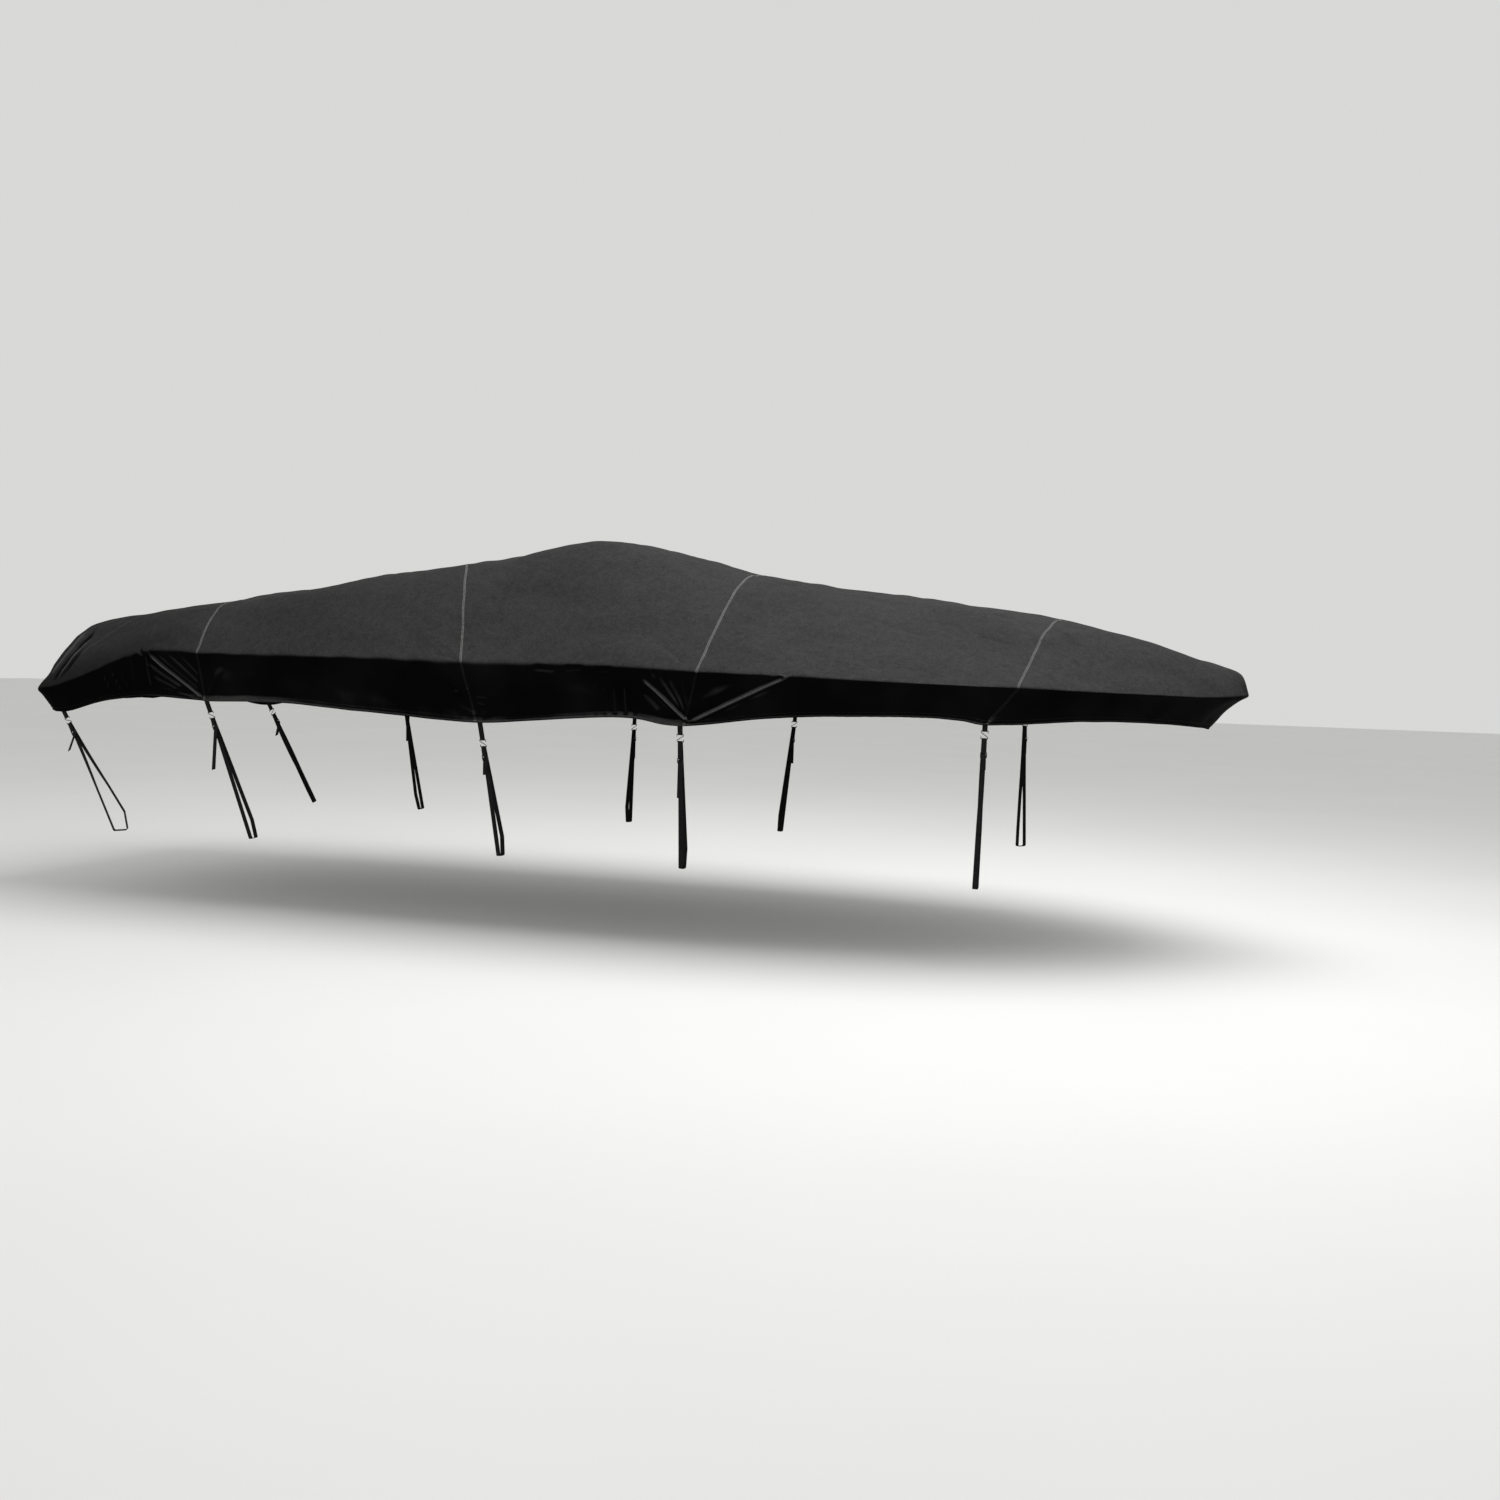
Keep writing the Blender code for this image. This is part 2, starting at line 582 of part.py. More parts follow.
def add_hook(name, frame, height, face, material):
    """The flat S: a bar through the tab's loop, a slanting middle and a bar through the band's loop.

    Face is 1, or -1 for a hook that shows its other face, on which the S slants the other way.
    """
    a, h, turn, tip = HOOK_HALF_WIDTH, HOOK_HALF_HEIGHT, HOOK_TURN, HOOK_TIP
    corners = ((-a, tip), (-a, h), (a, h), (a, turn), (-a, -turn), (-a, -h), (a, -h), (a, -tip))
    flat = rounded(corners, [HOOK_CORNER] * (len(corners) - 2), 1) * (face, 1.0)
    side = path_sides(flat)
    points = frame.top + flat[:, :1] * frame.wide_top + (flat[:, 1:] + height) * frame.up
    across = side[:, :1] * frame.wide_top + side[:, 1:] * frame.up
    angles = 2 * math.pi * (np.arange(WIRE_SIDES) + 0.5) / WIRE_SIDES
    rings = [points + WIRE * (math.cos(a) * across + math.sin(a) * frame.out_top) for a in angles]
    return add_tube(name, np.stack(rings, axis=1), material, 65)


def add_band(name, frame, hook_low, middle, tail, foot_width, material):
    """The band, from its sewn end round the buckle's upper bar to the end of its tail.

    Hook_low and middle are the heights of the hook's lower bar and of the buckle's middle bar, and tail is
    the tail's whole reach in space.
    """
    upper = middle + BAR_SPACING
    lower = middle - BAR_SPACING - BUCKLE_CLEAR
    inner = BUCKLE_OUT - LOOP
    outer = BUCKLE_OUT + LOOP
    reach = np.array((tail @ frame.out_top, tail @ frame.up, tail @ frame.wide_top))
    corners = (
        (inner, upper + SEWN_END, 0.0),
        (inner, upper - LOOP, 0.0),
        (outer, upper - LOOP, 0.0),
        (LOOP, hook_low + LOOP, 0.0),
        (-LOOP, hook_low + LOOP, 0.0),
        frame.foot_place(-foot_width / 2, FOOT_DEPTH),
        frame.foot_place(-foot_width / 2, 0.0),
        frame.foot_place(foot_width / 2, 0.0),
        (inner, lower, 0.0),
        (inner, middle + LOOP, 0.0),
        (outer, middle + LOOP, 0.0),
        (outer, lower, 0.0),
        reach + (outer, lower, 0.0),
    )
    loop, foot = LOOP_CORNER, FOOT_CORNER
    path = rounded(corners, (loop, loop, loop, loop, 0.0, foot, foot, 0.0, loop, loop, 0.0), ARC_STEPS)
    return add_webbing(name, path, frame, material)


def add_buckle(name, frame, middle, material):
    """The ladder: a plate of cells between grid lines, with two cells left out as windows."""
    inner = WEB_WIDTH / 2 + PIECE_GAP
    wide_lines = (-inner - RAIL_WIDTH, -inner, inner, inner + RAIL_WIDTH)
    up_lines = [middle + step * BAR_SPACING + edge * BAR / 2 for step in (-1, 0, 1) for edge in (-1, 1)]
    windows = {(1, 1), (1, 3)}
    points = [frame.top + (BUCKLE_OUT + face * BAR / 2) * frame.out_top + a * frame.wide_top + b * frame.up
              for face in (-1, 1) for a in wide_lines for b in up_lines]
    rows = len(up_lines)
    layer = len(wide_lines) * rows
    cells = [(i, j) for i in range(len(wide_lines) - 1) for j in range(rows - 1) if (i, j) not in windows]
    back = [(i * rows + j, (i + 1) * rows + j, (i + 1) * rows + j + 1, i * rows + j + 1) for i, j in cells]
    front = [tuple(corner + layer for corner in reversed(face)) for face in back]
    rim = [(b, a, a + layer, b + layer) for a, b in free_edges(np.array(back))]
    return add_object(name, points, back + front + rim, material, 35)


def hem_place(x, side):
    """The hem's outer point on the rib whose edge is at x, and the cloth's outward direction there."""
    point = place_on_cloth(x, 1.0, side)
    along = place_on_cloth(x + HEM_REACH, 1.0, side) - place_on_cloth(x - HEM_REACH, 1.0, side)
    normal = side * np.cross(along, point - place_on_cloth(x, 0.9, side))
    return point, normal / np.linalg.norm(normal)


def add_strap(strap, materials):
    """A tab, a hook, a band and a buckle at one place on the hem."""
    name = strap["name"]
    hem, normal = hem_place(strap["rib_x"], strap["side"])
    top = hem - (strap["seat"] + WEB / 2 + LOOP) * normal
    mirror = np.array((1.0, strap["side"], 1.0))
    foot = mirror * (strap["foot_x"], strap["foot_y"], FOOT_HEIGHT - ORIGIN_HEIGHT)
    angle = math.radians(strap["foot_angle"])
    frame = Frame(top, foot, normal, mirror * (-math.sin(angle), math.cos(angle), 0.0))
    low = WEB / 2 - strap["tab"]
    hook = low + LOOP - HOOK_HALF_HEIGHT
    hook_low = hook - HOOK_HALF_HEIGHT
    middle = hook_low - strap["buckle"]
    tail = strap["tail"] * np.array((-strap["swing"], 0.0, -1.0))
    bend = max(0.0, (normal @ frame.up) / (normal @ frame.out_top))
    webbing = materials["strap_webbing"]
    add_tab(f"{name}_tab", frame, low, bend, webbing)
    add_hook(f"{name}_hook", frame, hook, strap["hook_face"], materials["hook_steel"])
    add_band(f"{name}_band", frame, hook_low, middle, tail, strap["foot_width"], webbing)
    add_buckle(f"{name}_buckle", frame, middle, materials["buckle_plastic"])


def build():
    """Removes what the scene holds and makes the cover."""
    for obj in list(bpy.data.objects):
        bpy.data.objects.remove(obj, do_unlink=True)
    materials = {}
    for name, (colour, roughness, metallic) in COLOURS.items():
        material = bpy.data.materials.new(name)
        material.use_nodes = True
        shader = material.node_tree.nodes["Principled BSDF"]
        shader.inputs["Base Color"].default_value = (*colour, 1.0)
        shader.inputs["Roughness"].default_value = roughness
        shader.inputs["Metallic"].default_value = metallic
        materials[name] = material
    add_panels(materials)
    for row in STRAP_ROWS:
        add_strap(dict(zip(STRAP_COLUMNS, row)), materials)


build()
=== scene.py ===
"""Looks of the fitted boat cover: cloth, seams, hem, webbing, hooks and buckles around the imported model.

Frame: +X to the bow end, +Y to port, +Z up, in metres. The origin lies on the inner face of the cloth under
the highest part of the crown. Heights in the tables are above the ground.

The cloth is one surface of two parameters: s, the distance along the edge crease from the middle of the
stern, and the level across it, -1 on the spine, 0 on the edge crease and 1 on the hem.
"""

import math

import bpy
import numpy as np
from mathutils import Matrix


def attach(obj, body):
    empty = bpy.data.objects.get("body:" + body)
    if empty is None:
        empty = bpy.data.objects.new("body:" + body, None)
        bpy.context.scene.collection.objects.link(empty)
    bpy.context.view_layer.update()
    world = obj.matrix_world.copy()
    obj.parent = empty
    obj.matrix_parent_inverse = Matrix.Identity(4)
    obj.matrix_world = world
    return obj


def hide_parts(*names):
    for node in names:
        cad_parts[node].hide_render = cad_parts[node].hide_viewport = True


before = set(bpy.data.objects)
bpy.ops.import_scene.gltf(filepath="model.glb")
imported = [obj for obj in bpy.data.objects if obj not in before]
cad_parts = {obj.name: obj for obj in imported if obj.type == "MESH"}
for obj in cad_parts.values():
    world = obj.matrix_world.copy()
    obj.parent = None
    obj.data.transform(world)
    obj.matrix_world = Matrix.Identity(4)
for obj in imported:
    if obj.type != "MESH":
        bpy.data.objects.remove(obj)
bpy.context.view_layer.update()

MM = 0.001
ORIGIN_HEIGHT = 2.1475
STARBOARD, PORT = -1, 1
SIDES = (STARBOARD, PORT)

# Plan of the edge crease
HALF_BEAM = 1.20
STERN_X = -3.14
STERN_BULGE = 0.04
STERN_HALF = 1.09
CORNER_RADIUS = 0.10
SIDE_TAPER = 0.10
SIDE_TAPER_LENGTH = 3.50
BOW_START_X = 0.78
BOW_LENGTH = 2.845
BOW_FULLNESS = 2.6
BOW_BLUNTNESS = 1.4

# Top of each rib. The flank is the steep part that rises from the edge crease over the length of the run,
# and above it the cloth rises gently to the spine.
TOP_COLUMNS = ("edge_x", "edge_z", "flank", "run", "spine_x", "spine_z")
TOP_ROWS = (
    (-3.14, 1.215, 0.33, 0.24, -2.46, 1.68), (-3.11, 1.212, 0.335, 0.23, -2.42, 1.688),
    (-3.06, 1.204, 0.352, 0.28, -2.33, 1.706), (-2.8, 1.275, 0.315, 0.31, -2.24, 1.724),
    (-2.54, 1.371, 0.265, 0.28, -2.19, 1.74), (-2.29, 1.445, 0.225, 0.24, -2.14, 1.765),
    (-1.95, 1.446, 0.24, 0.22, -2.07, 1.8), (-1.42, 1.446, 0.33, 0.25, -1.52, 1.875),
    (-0.92, 1.443, 0.43, 0.33, -1.05, 1.955), (-0.31, 1.442, 0.54, 0.46, -0.49, 2.045),
    (0.05, 1.441, 0.6, 0.5, -0.13, 2.125), (0.28, 1.444, 0.63, 0.52, 0.12, 2.15),
    (0.62, 1.441, 0.6, 0.6, 0.55, 2.08), (0.98, 1.431, 0.52, 0.75, 0.98, 1.985),
    (1.48, 1.421, 0.45, 0.8, 1.5, 1.918), (1.98, 1.407, 0.395, 0.8, 2.04, 1.86),
    (2.53, 1.396, 0.305, 0.7, 2.65, 1.773), (2.93, 1.383, 0.225, 0.45, 2.96, 1.692),
    (3.28, 1.371, 0.147, 0.23, 3.16, 1.633), (3.48, 1.367, 0.104, 0.1, 3.26, 1.59),
    (3.625, 1.376, 0.09, 0.04, 3.33, 1.56),
)
KNEE = 0.2
CROWN_POWER = 1.7
SKIRT_TURN = 0.7

# Skirt below the edge crease: how far it drops, how far the hem lies in towards the spine, and how far the
# hem leans along the edge, forward positive.
SKIRT_COLUMNS = ("edge_x", "drop", "inset", "lean")
SKIRT_ROWS = (
    (-3.14, 0.07, 0.09, 0), (-3.1, 0.112, 0.08, 0), (-3.04, 0.128, 0.08, 0),
    (-2.9, 0.152, 0.07, 0), (-2.72, 0.17, 0.05, 0), (-2.45, 0.222, 0.045, 0),
    (-2.25, 0.26, 0.04, 0.01), (-1.95, 0.266, 0.04, 0.04), (-1.55, 0.258, 0.04, 0),
    (-0.9, 0.285, 0.04, 0), (-0.31, 0.316, 0.04, 0.08), (0.1, 0.292, 0.04, 0),
    (0.6, 0.257, 0.04, 0), (0.98, 0.276, 0.04, -0.07), (1.3, 0.222, 0.045, 0),
    (1.8, 0.18, 0.055, 0), (2.1, 0.168, 0.06, 0), (2.3, 0.172, 0.065, -0.05),
    (2.53, 0.184, 0.07, -0.17), (2.85, 0.148, 0.085, -0.05), (3.28, 0.146, 0.11, 0),
    (3.48, 0.155, 0.15, 0), (3.625, 0.172, 0.205, 0),
)

# Panels between the seams, with the size that each was cut to before it was sewn, measured over the solids:
# its greatest girth from hem to hem, its greatest run along the cloth between its ends, and its area
PANEL_COLUMNS = ("name", "to_x", "width", "length", "area", "thread")
PANEL_ROWS = (
    ("stern", -1.95, 3.29, 1.50, 3.92, "pale_thread"),
    ("aft", -0.31, 3.69, 1.68, 4.87, "pale_thread"),
    ("middle", 0.98, 3.69, 1.86, 5.18, "pale_thread"),
    ("forward", 2.53, 3.27, 1.68, 4.62, "worn_thread"),
    ("bow", 3.625, 2.55, 1.50, 2.02, "pale_thread"),
)

# Distance between the ribs of the mesh, by where their edge is: close where the folds are sharp
STEP_COLUMNS = ("edge_x", "step")
STEP_ROWS = (
    (-3.14, 0.03), (-3.12, 0.008), (-2.88, 0.008), (-2.82, 0.016), (-2.42, 0.016), (-2.36, 0.0046),
    (-1.94, 0.0046), (-1.84, 0.018), (-0.5, 0.018), (-0.44, 0.008), (-0.14, 0.008), (-0.06, 0.018),
    (0.36, 0.018), (0.42, 0.007), (0.6, 0.005), (1.46, 0.005), (1.56, 0.02), (2.38, 0.02),
    (2.44, 0.01), (2.6, 0.01), (2.7, 0.02), (3.4, 0.016), (3.625, 0.01),
)
# On the top a rib's points slide along the cloth, from nothing at the edge crease to this far at the spine
SLIDE_COLUMNS = ("edge_x", "slide")
SLIDE_ROWS = ((-1.95, 0.0), (-0.31, -0.39), (0.98, 0.0))
TOP_STEPS = 60
TOP_CROWDING = 1.45
SKIRT_STEPS = 44
SKIRT_CROWDING = 1.35

# Folds: ridges from one place on the cloth to another, each with a shallow trough along both sides. Widths
# and heights are in millimetres, and a height below 0 is a trough. Port has the same kinds at its own places.
FOLD_COLUMNS = ("from_x", "from_level", "to_x", "to_level", "width", "height")
FOLD_ROWS = {
    STARBOARD: (
        # fan at the aft strap
        (-1.962, 0.97, -2.29, 0.02, 8.5, 13), (-1.975, 0.84, -2.225, 0.06, 8.5, 4.5),
        (-1.975, 0.66, -2.15, 0.06, 8.5, 4.2), (-1.965, 0.5, -2.08, 0.06, 8.5, 3.6),
        (-2.09, 0.78, -2.29, 0.28, 8, 6), (-2.12, 0.84, -2.265, 0.56, 8.5, 4.8),
        (-2.02, 0.97, -2.24, 0.8, 10, 3.6), (-2.292, 0.04, -2.283, 0.85, 13, 5),
        (-2.345, -0.02, -2.315, 0.07, 11, -12), (-2.395, 0.02, -2.39, 0.7, 22, 4),
        (-2.61, 0.12, -2.56, 0.8, 11, 5.5), (-2.545, 0.14, -2.49, 0.82, 10, 5.5),
        (-2.48, 0.3, -2.435, 0.85, 10, 5), (-1.93, 0.95, -1.8, 0.3, 16, 3.5),
        # drawn lines over the stern corner
        (-3.085, -0.06, -3.09, -0.2, 12, 3), (-3.058, -0.05, -3.062, -0.2, 10, -6),
        (-3.024, -0.04, -3.032, -0.21, 11, 11), (-2.983, -0.02, -2.985, -0.21, 11, -17),
        (-2.958, -0.04, -2.955, -0.17, 9, 7), (-2.938, -0.02, -2.93, -0.13, 10, -13),
        (-2.92, -0.1, -2.7, -0.33, 20, 6), (-2.262, -0.2, -2.04, -0.21, 12, 6),
        (-2.3, -0.04, -2.42, -0.16, 16, 5),
        # middle strap and its seam
        (-0.4, 0.34, -0.372, 0.5, 11, -4), (-0.33, 0.28, -0.425, 0.38, 9, 2.4),
        (-0.3, 0.46, -0.41, 0.54, 10, 2.8), (-0.28, 0.6, -0.19, 0.62, 9, 2.6),
        (-0.29, 0.68, -0.22, 0.74, 9, 2), (-0.29, 0.92, -0.5, 0.55, 20, 2.6),
        (-0.27, 0.92, -0.06, 0.62, 20, 2.4), (-0.27, -0.01, -0.11, -0.058, 12, 3.2),
        (-0.3, -0.04, -0.19, -0.085, 11, -3.6), (-0.335, -0.008, -0.5, -0.03, 12, -3.4),
        (-0.35, -0.03, -0.48, -0.07, 11, 2.6),
        # drawn cloth above the crease
        (0.915, -0.03, 0.75, -0.11, 13, -3.8), (0.925, -0.06, 0.8, -0.16, 14, 2.8),
        (2.23, -0.44, 2.45, -0.395, 30, -4.2), (2.53, -0.7, 2.77, -0.42, 30, -4.2),
        (1.61, -0.5, 2.07, -0.365, 32, -3),
        # gathers between the middle and the forward strap
        (0.443, 0.97, 0.436, 0.34, 10, 2.2), (0.49, 0.97, 0.48, 0.4, 10, 1.8),
        (0.545, 0.96, 0.535, 0.26, 11, 2.6), (0.606, 0.95, 0.594, 0.18, 12, 2.6),
        (0.66, 0.93, 0.64, 0.24, 11, 2.4), (0.512, 0.96, 0.505, 0.44, 11, -5),
        (0.573, 0.95, 0.563, 0.34, 12, -6), (0.632, 0.94, 0.616, 0.36, 12, -5),
        (0.1, 0.06, 0.23, 0.1, 14, -5), (0.27, 0.08, 0.38, 0.05, 14, -4.5),
        (0.43, 0.1, 0.54, 0.06, 12, -4),
        # fan at the forward strap
        (0.998, 0.94, 0.685, 0.19, 8.5, 12), (1.003, 0.94, 1.475, -0.03, 8.5, 13),
        (0.945, 0.73, 0.775, 0.1, 8.5, 6.2), (0.97, 0.78, 0.835, 0.14, 8.5, 5.6),
        (0.975, 0.74, 0.905, 0.1, 8.5, 4.2), (0.82, 0.34, 0.735, 0.06, 8.5, 5),
        (1.03, 0.58, 1.275, 0.05, 24, 3.6), (0.815, 0.8, 0.7, 0.52, 14, 4.5),
        # bow strap
        (2.52, 0.94, 2.4, 0.3, 16, 3), (2.53, 0.94, 2.7, 0.34, 16, 3),
    ),
    PORT: (
        (-1.965, 0.97, -2.225, 0.1, 9, 12), (-1.985, 0.88, -2.16, 0.08, 8.5, 6),
        (-1.985, 0.94, -2.25, 0.4, 9, 7), (-2.08, 0.92, -2.24, 0.66, 9, 5.5),
        (-1.925, 0.93, -1.72, 0.16, 10, 8), (-2.34, -0.02, -2.31, 0.07, 11, -10),
        (-2.59, 0.12, -2.55, 0.8, 11, 5), (-2.5, 0.16, -2.46, 0.82, 10, 5),
        (-3.09, -0.02, -3.015, -0.28, 9, 10), (-3.06, -0.03, -2.975, -0.25, 8, -10),
        (-3.03, -0.03, -2.945, -0.25, 9, 10), (-2.975, -0.03, -2.9, -0.22, 9, -8),
        (-0.3, 0.92, -0.5, 0.5, 16, 3.6), (-0.27, 0.92, -0.06, 0.56, 16, 3.6),
        (-0.29, 0.6, -0.39, 0.5, 9, 3), (-0.31, 0.42, -0.42, 0.34, 9, 3),
        (0.43, 0.97, 0.424, 0.4, 10, 2.2), (0.5, 0.96, 0.492, 0.32, 11, 2.6),
        (0.563, 0.96, 0.552, 0.24, 11, 2.6), (0.975, 0.93, 0.61, 0.06, 9.5, 12),
        (0.98, 0.85, 0.79, 0.02, 9, 8), (0.985, 0.7, 0.88, 0.02, 8.5, 5.5),
        (1.01, 0.93, 1.33, 0.04, 9.5, 11), (1.005, 0.75, 1.18, 0.06, 11, 6),
        (2.51, 0.94, 2.38, 0.26, 12, 4), (2.54, 0.94, 2.72, 0.3, 12, 4),
    ),
}
FOLD_START = 0.10
FOLD_END = 0.17
FOLD_LEAD = 0.02
FOLD_TAIL = 0.03
FOLD_DEPTH = 0.05
TROUGH = 0.34
TROUGH_WIDTH = 2.3

# How far the hem's last HEM_FLARE stands out, so that its face turns up to the light
FLARE_COLUMNS = ("edge_x", "out")
FLARE_ROWS = (
    (-3.14, 0), (-2.4, 0), (-2.25, 0.004), (-1.98, 0.007), (-1.91, 0.022), (-1.62, 0.02), (-1.25, 0),
    (-0.42, 0), (-0.32, 0.008), (-0.18, 0.008), (-0.06, 0.002), (0.05, 0.005), (0.2, 0.0085), (0.62, 0.0085),
    (0.76, 0.011), (0.84, 0.017), (0.98, 0.013), (1.06, 0.002), (1.3, 0), (2.44, 0), (2.52, 0.003),
    (2.62, 0), (3.625, 0),
)
HEM_FLARE = 0.032
HEM_BAND = 28 * MM
HEM_RISE = 0.8 * MM
HEM_ROPE = 9 * MM
HEM_BEAD = 3.0 * MM
HEM_TURN = 1.6
CREASE_SOFT = 0.016
CREASE_ROUNDS = 6
END_FADE = 0.05
CLOTH = 1.2 * MM

# Gathers of the hem, and slight unevenness all over
GATHER_LENGTH = 0.047
GATHER_HEIGHT = 1.6 * MM
GATHER_FADE = 0.045
GATHER_WANDER = ((0.9, 5.1, 1.0), (0.7, 11.3, 2.0))
GATHER_BEND = 3.0
RIPPLE_SEED = 11
RIPPLE_COUNT = 36
RIPPLE_LONG = 0.75
RIPPLE_SHORT = 0.10
RIPPLE_HEIGHT = 2.0 * MM
RIPPLE_POWER = 0.7
RIPPLE_SPREAD = (0.6, 1.0, 1.0)

# Seams: felled strips with two rows of stitches in pale thread
SEAM_PROFILE = (
    (-7.0, -0.6), (-7.0, 0.5), (-6.4, 0.9), (-4.9, 1.0), (-4.0, 0.6), (-3.1, 1.0), (0.0, 1.15),
    (3.1, 1.0), (4.0, 0.6), (4.9, 1.0), (6.4, 0.9), (7.0, 0.5), (7.0, -0.6),
)
SEAM_STEP = 8 * MM
SEAM_PUCKER = ((0.16, 2.4), (0.10, 0.9))
STITCH_ROW = 4.0 * MM
STITCH_PITCH = 8 * MM
STITCH_LENGTH = 6.2 * MM
STITCH_WIDTH = 2.2 * MM
STITCH_HEIGHT = 1.2 * MM
STITCH_LIFT = 0.6 * MM
STITCH_RINGS = ((-0.5, 0.25), (0.0, 1.0), (0.5, 0.25))
STITCH_SECTION = ((-0.5, -0.3), (-0.3, 0.8), (0.3, 0.8), (0.5, -0.3))
HEM_STITCH = 23 * MM
HEM_STITCH_LIFT = 0.1 * MM
LINE_POINTS = 400
SEAM_POINTS = (60, 220)

# Straps
WEB_WIDTH = 25 * MM
WEB = 2 * MM
PIECE_GAP = 0.5 * MM
LOOP = 3.5 * MM
LOOP_CORNER = 3.2 * MM
ARC_STEPS = 7
RUN_STEP = 0.03
TAB_SEWN = 18 * MM
TAB_CLEAR = 3 * MM
HEM_REACH = 0.03
FOOT_HEIGHT = 0.41
FOOT_DEPTH = 0.10
FOOT_CORNER = 10 * MM
TURN_START = 0.22
TURN_END = 0.50
STRAP_COLUMNS = ("name", "side", "rib_x", "seat", "tab", "hook_face", "buckle", "tail", "swing",
                 "foot_x", "foot_y", "foot_width", "foot_angle")
STRAP_ROWS = (
    ("starboard_stern", -1, -2.975, 0.0043, 0.045, 1, 0.060, 0.090, 0.40, -2.549, 1.000, 0.077, 30),
    ("starboard_aft", -1, -1.95, 0.0028, 0.070, 1, 0.048, 0.220, 0.05, -1.700, 0.955, 0.050, 0),
    ("starboard_middle", -1, -0.29, 0.0025, 0.098, 1, 0.060, 0.070, 0.0, -0.175, 0.955, 0.050, 0),
    ("starboard_forward", -1, 0.957, 0.0020, 0.050, -1, 0.100, 0.170, 0.0, 0.852, 0.955, 0.050, 0),
    ("starboard_bow", -1, 2.53, 0.0036, 0.036, 1, 0.078, 0.055, 0.0, 2.363, 0.955, 0.050, 0),
    ("port_stern", 1, -2.975, 0.0043, 0.045, 1, 0.060, 0.080, 0.20, -2.549, 1.000, 0.077, 30),
    ("port_aft", 1, -1.95, 0.0028, 0.068, -1, 0.052, 0.150, 0.0, -1.690, 0.955, 0.050, 0),
    ("port_middle", 1, -0.29, 0.0025, 0.090, 1, 0.060, 0.110, 0.0, -0.170, 0.955, 0.050, 0),
    ("port_forward", 1, 0.957, 0.0020, 0.055, 1, 0.085, 0.130, 0.0, 0.860, 0.955, 0.050, 0),
    ("port_bow", 1, 2.53, 0.0036, 0.036, -1, 0.078, 0.070, 0.0, 2.380, 0.955, 0.066, -35),
)
WEB_HALF = ((-0.35, -12.5), (-0.85, -12.0), (-1.0, -10.8), (-1.0, -4.0),
            (-1.0, 4.0), (-1.0, 10.8), (-0.85, 12.0), (-0.35, 12.5))
WEB_SECTION = (*WEB_HALF, *((-thick, -wide) for thick, wide in WEB_HALF))
WIRE = 2 * MM
WIRE_SIDES = 14
HOOK_HALF_WIDTH = 17 * MM
HOOK_HALF_HEIGHT = 20 * MM
HOOK_TURN = 12 * MM
HOOK_TIP = 8 * MM
HOOK_CORNER = 3 * MM
TIP_OUT = 0.35
TIP_RADIUS = 0.6
BAR = 2.4 * MM
BAR_SPACING = 12 * MM
RAIL_WIDTH = 4 * MM
BUCKLE_OUT = 4.5 * MM
SEWN_END = 22 * MM
BUCKLE_CLEAR = 6 * MM
BUCKLE_ROUND = 0.7 * MM

# Camera, as far as the picture's own frame of 1500 x 1500 tells
CAMERA_PLACE = (3.313, -8.261, -0.6595)
CAMERA_YAW = 0.2819
CAMERA_PITCH = 0.0592
CAMERA_ROLL = 0.0293
CAMERA_LENS = 36.03
SENSOR = 36.0

# Looks of the cloth: dust on faces that hang, painted shade on the stern and close above its crease, a
# painted highlight on folds' crests and painted shade in their troughs
HANGING_DUST = 0.07
STERN_PAINTED_SHADE = 0.50
CREST_PAINTED_HIGHLIGHT = 1.30
TROUGH_PAINTED_SHADE = 0.25

# Stage
SURROUND = "#f6f6f5"
SURROUND_STRENGTH = 0.75
FLOOR_Z = -ORIGIN_HEIGHT
FLOOR_HALF = 40.0
LIGHT_COLUMNS = ("name", "place", "aim", "width", "height", "watts")
LIGHT_ROWS = (
    ("overhead", (2.4, -0.6, 4.4), (0.6, 0.0, -0.6), 6.0, 5.0, 420.0),
    ("front", (3.0, -9.0, 2.0), (0.3, -1.0, -0.8), 6.0, 3.0, 30.0),
)


def unit(vectors):
    """Vectors divided by their own lengths."""
    return vectors / np.linalg.norm(vectors, axis=-1, keepdims=True)


def lengths_along(points):
    """The distance along a line of points, at each of them."""
    return np.concatenate([[0.0], np.cumsum(np.linalg.norm(np.diff(points, axis=0), axis=1))])


def between(at, places, points):
    """The values at distances along a line, straight between its own points at their places."""
    return np.stack([np.interp(at, places, one) for one in points.T], axis=1)


def rows_of(rows, columns):
    """A table's rows, each as its names with its values."""
    return [dict(zip(columns, row)) for row in rows]


# Cloth surface ----------------------------------------------------------------------------------

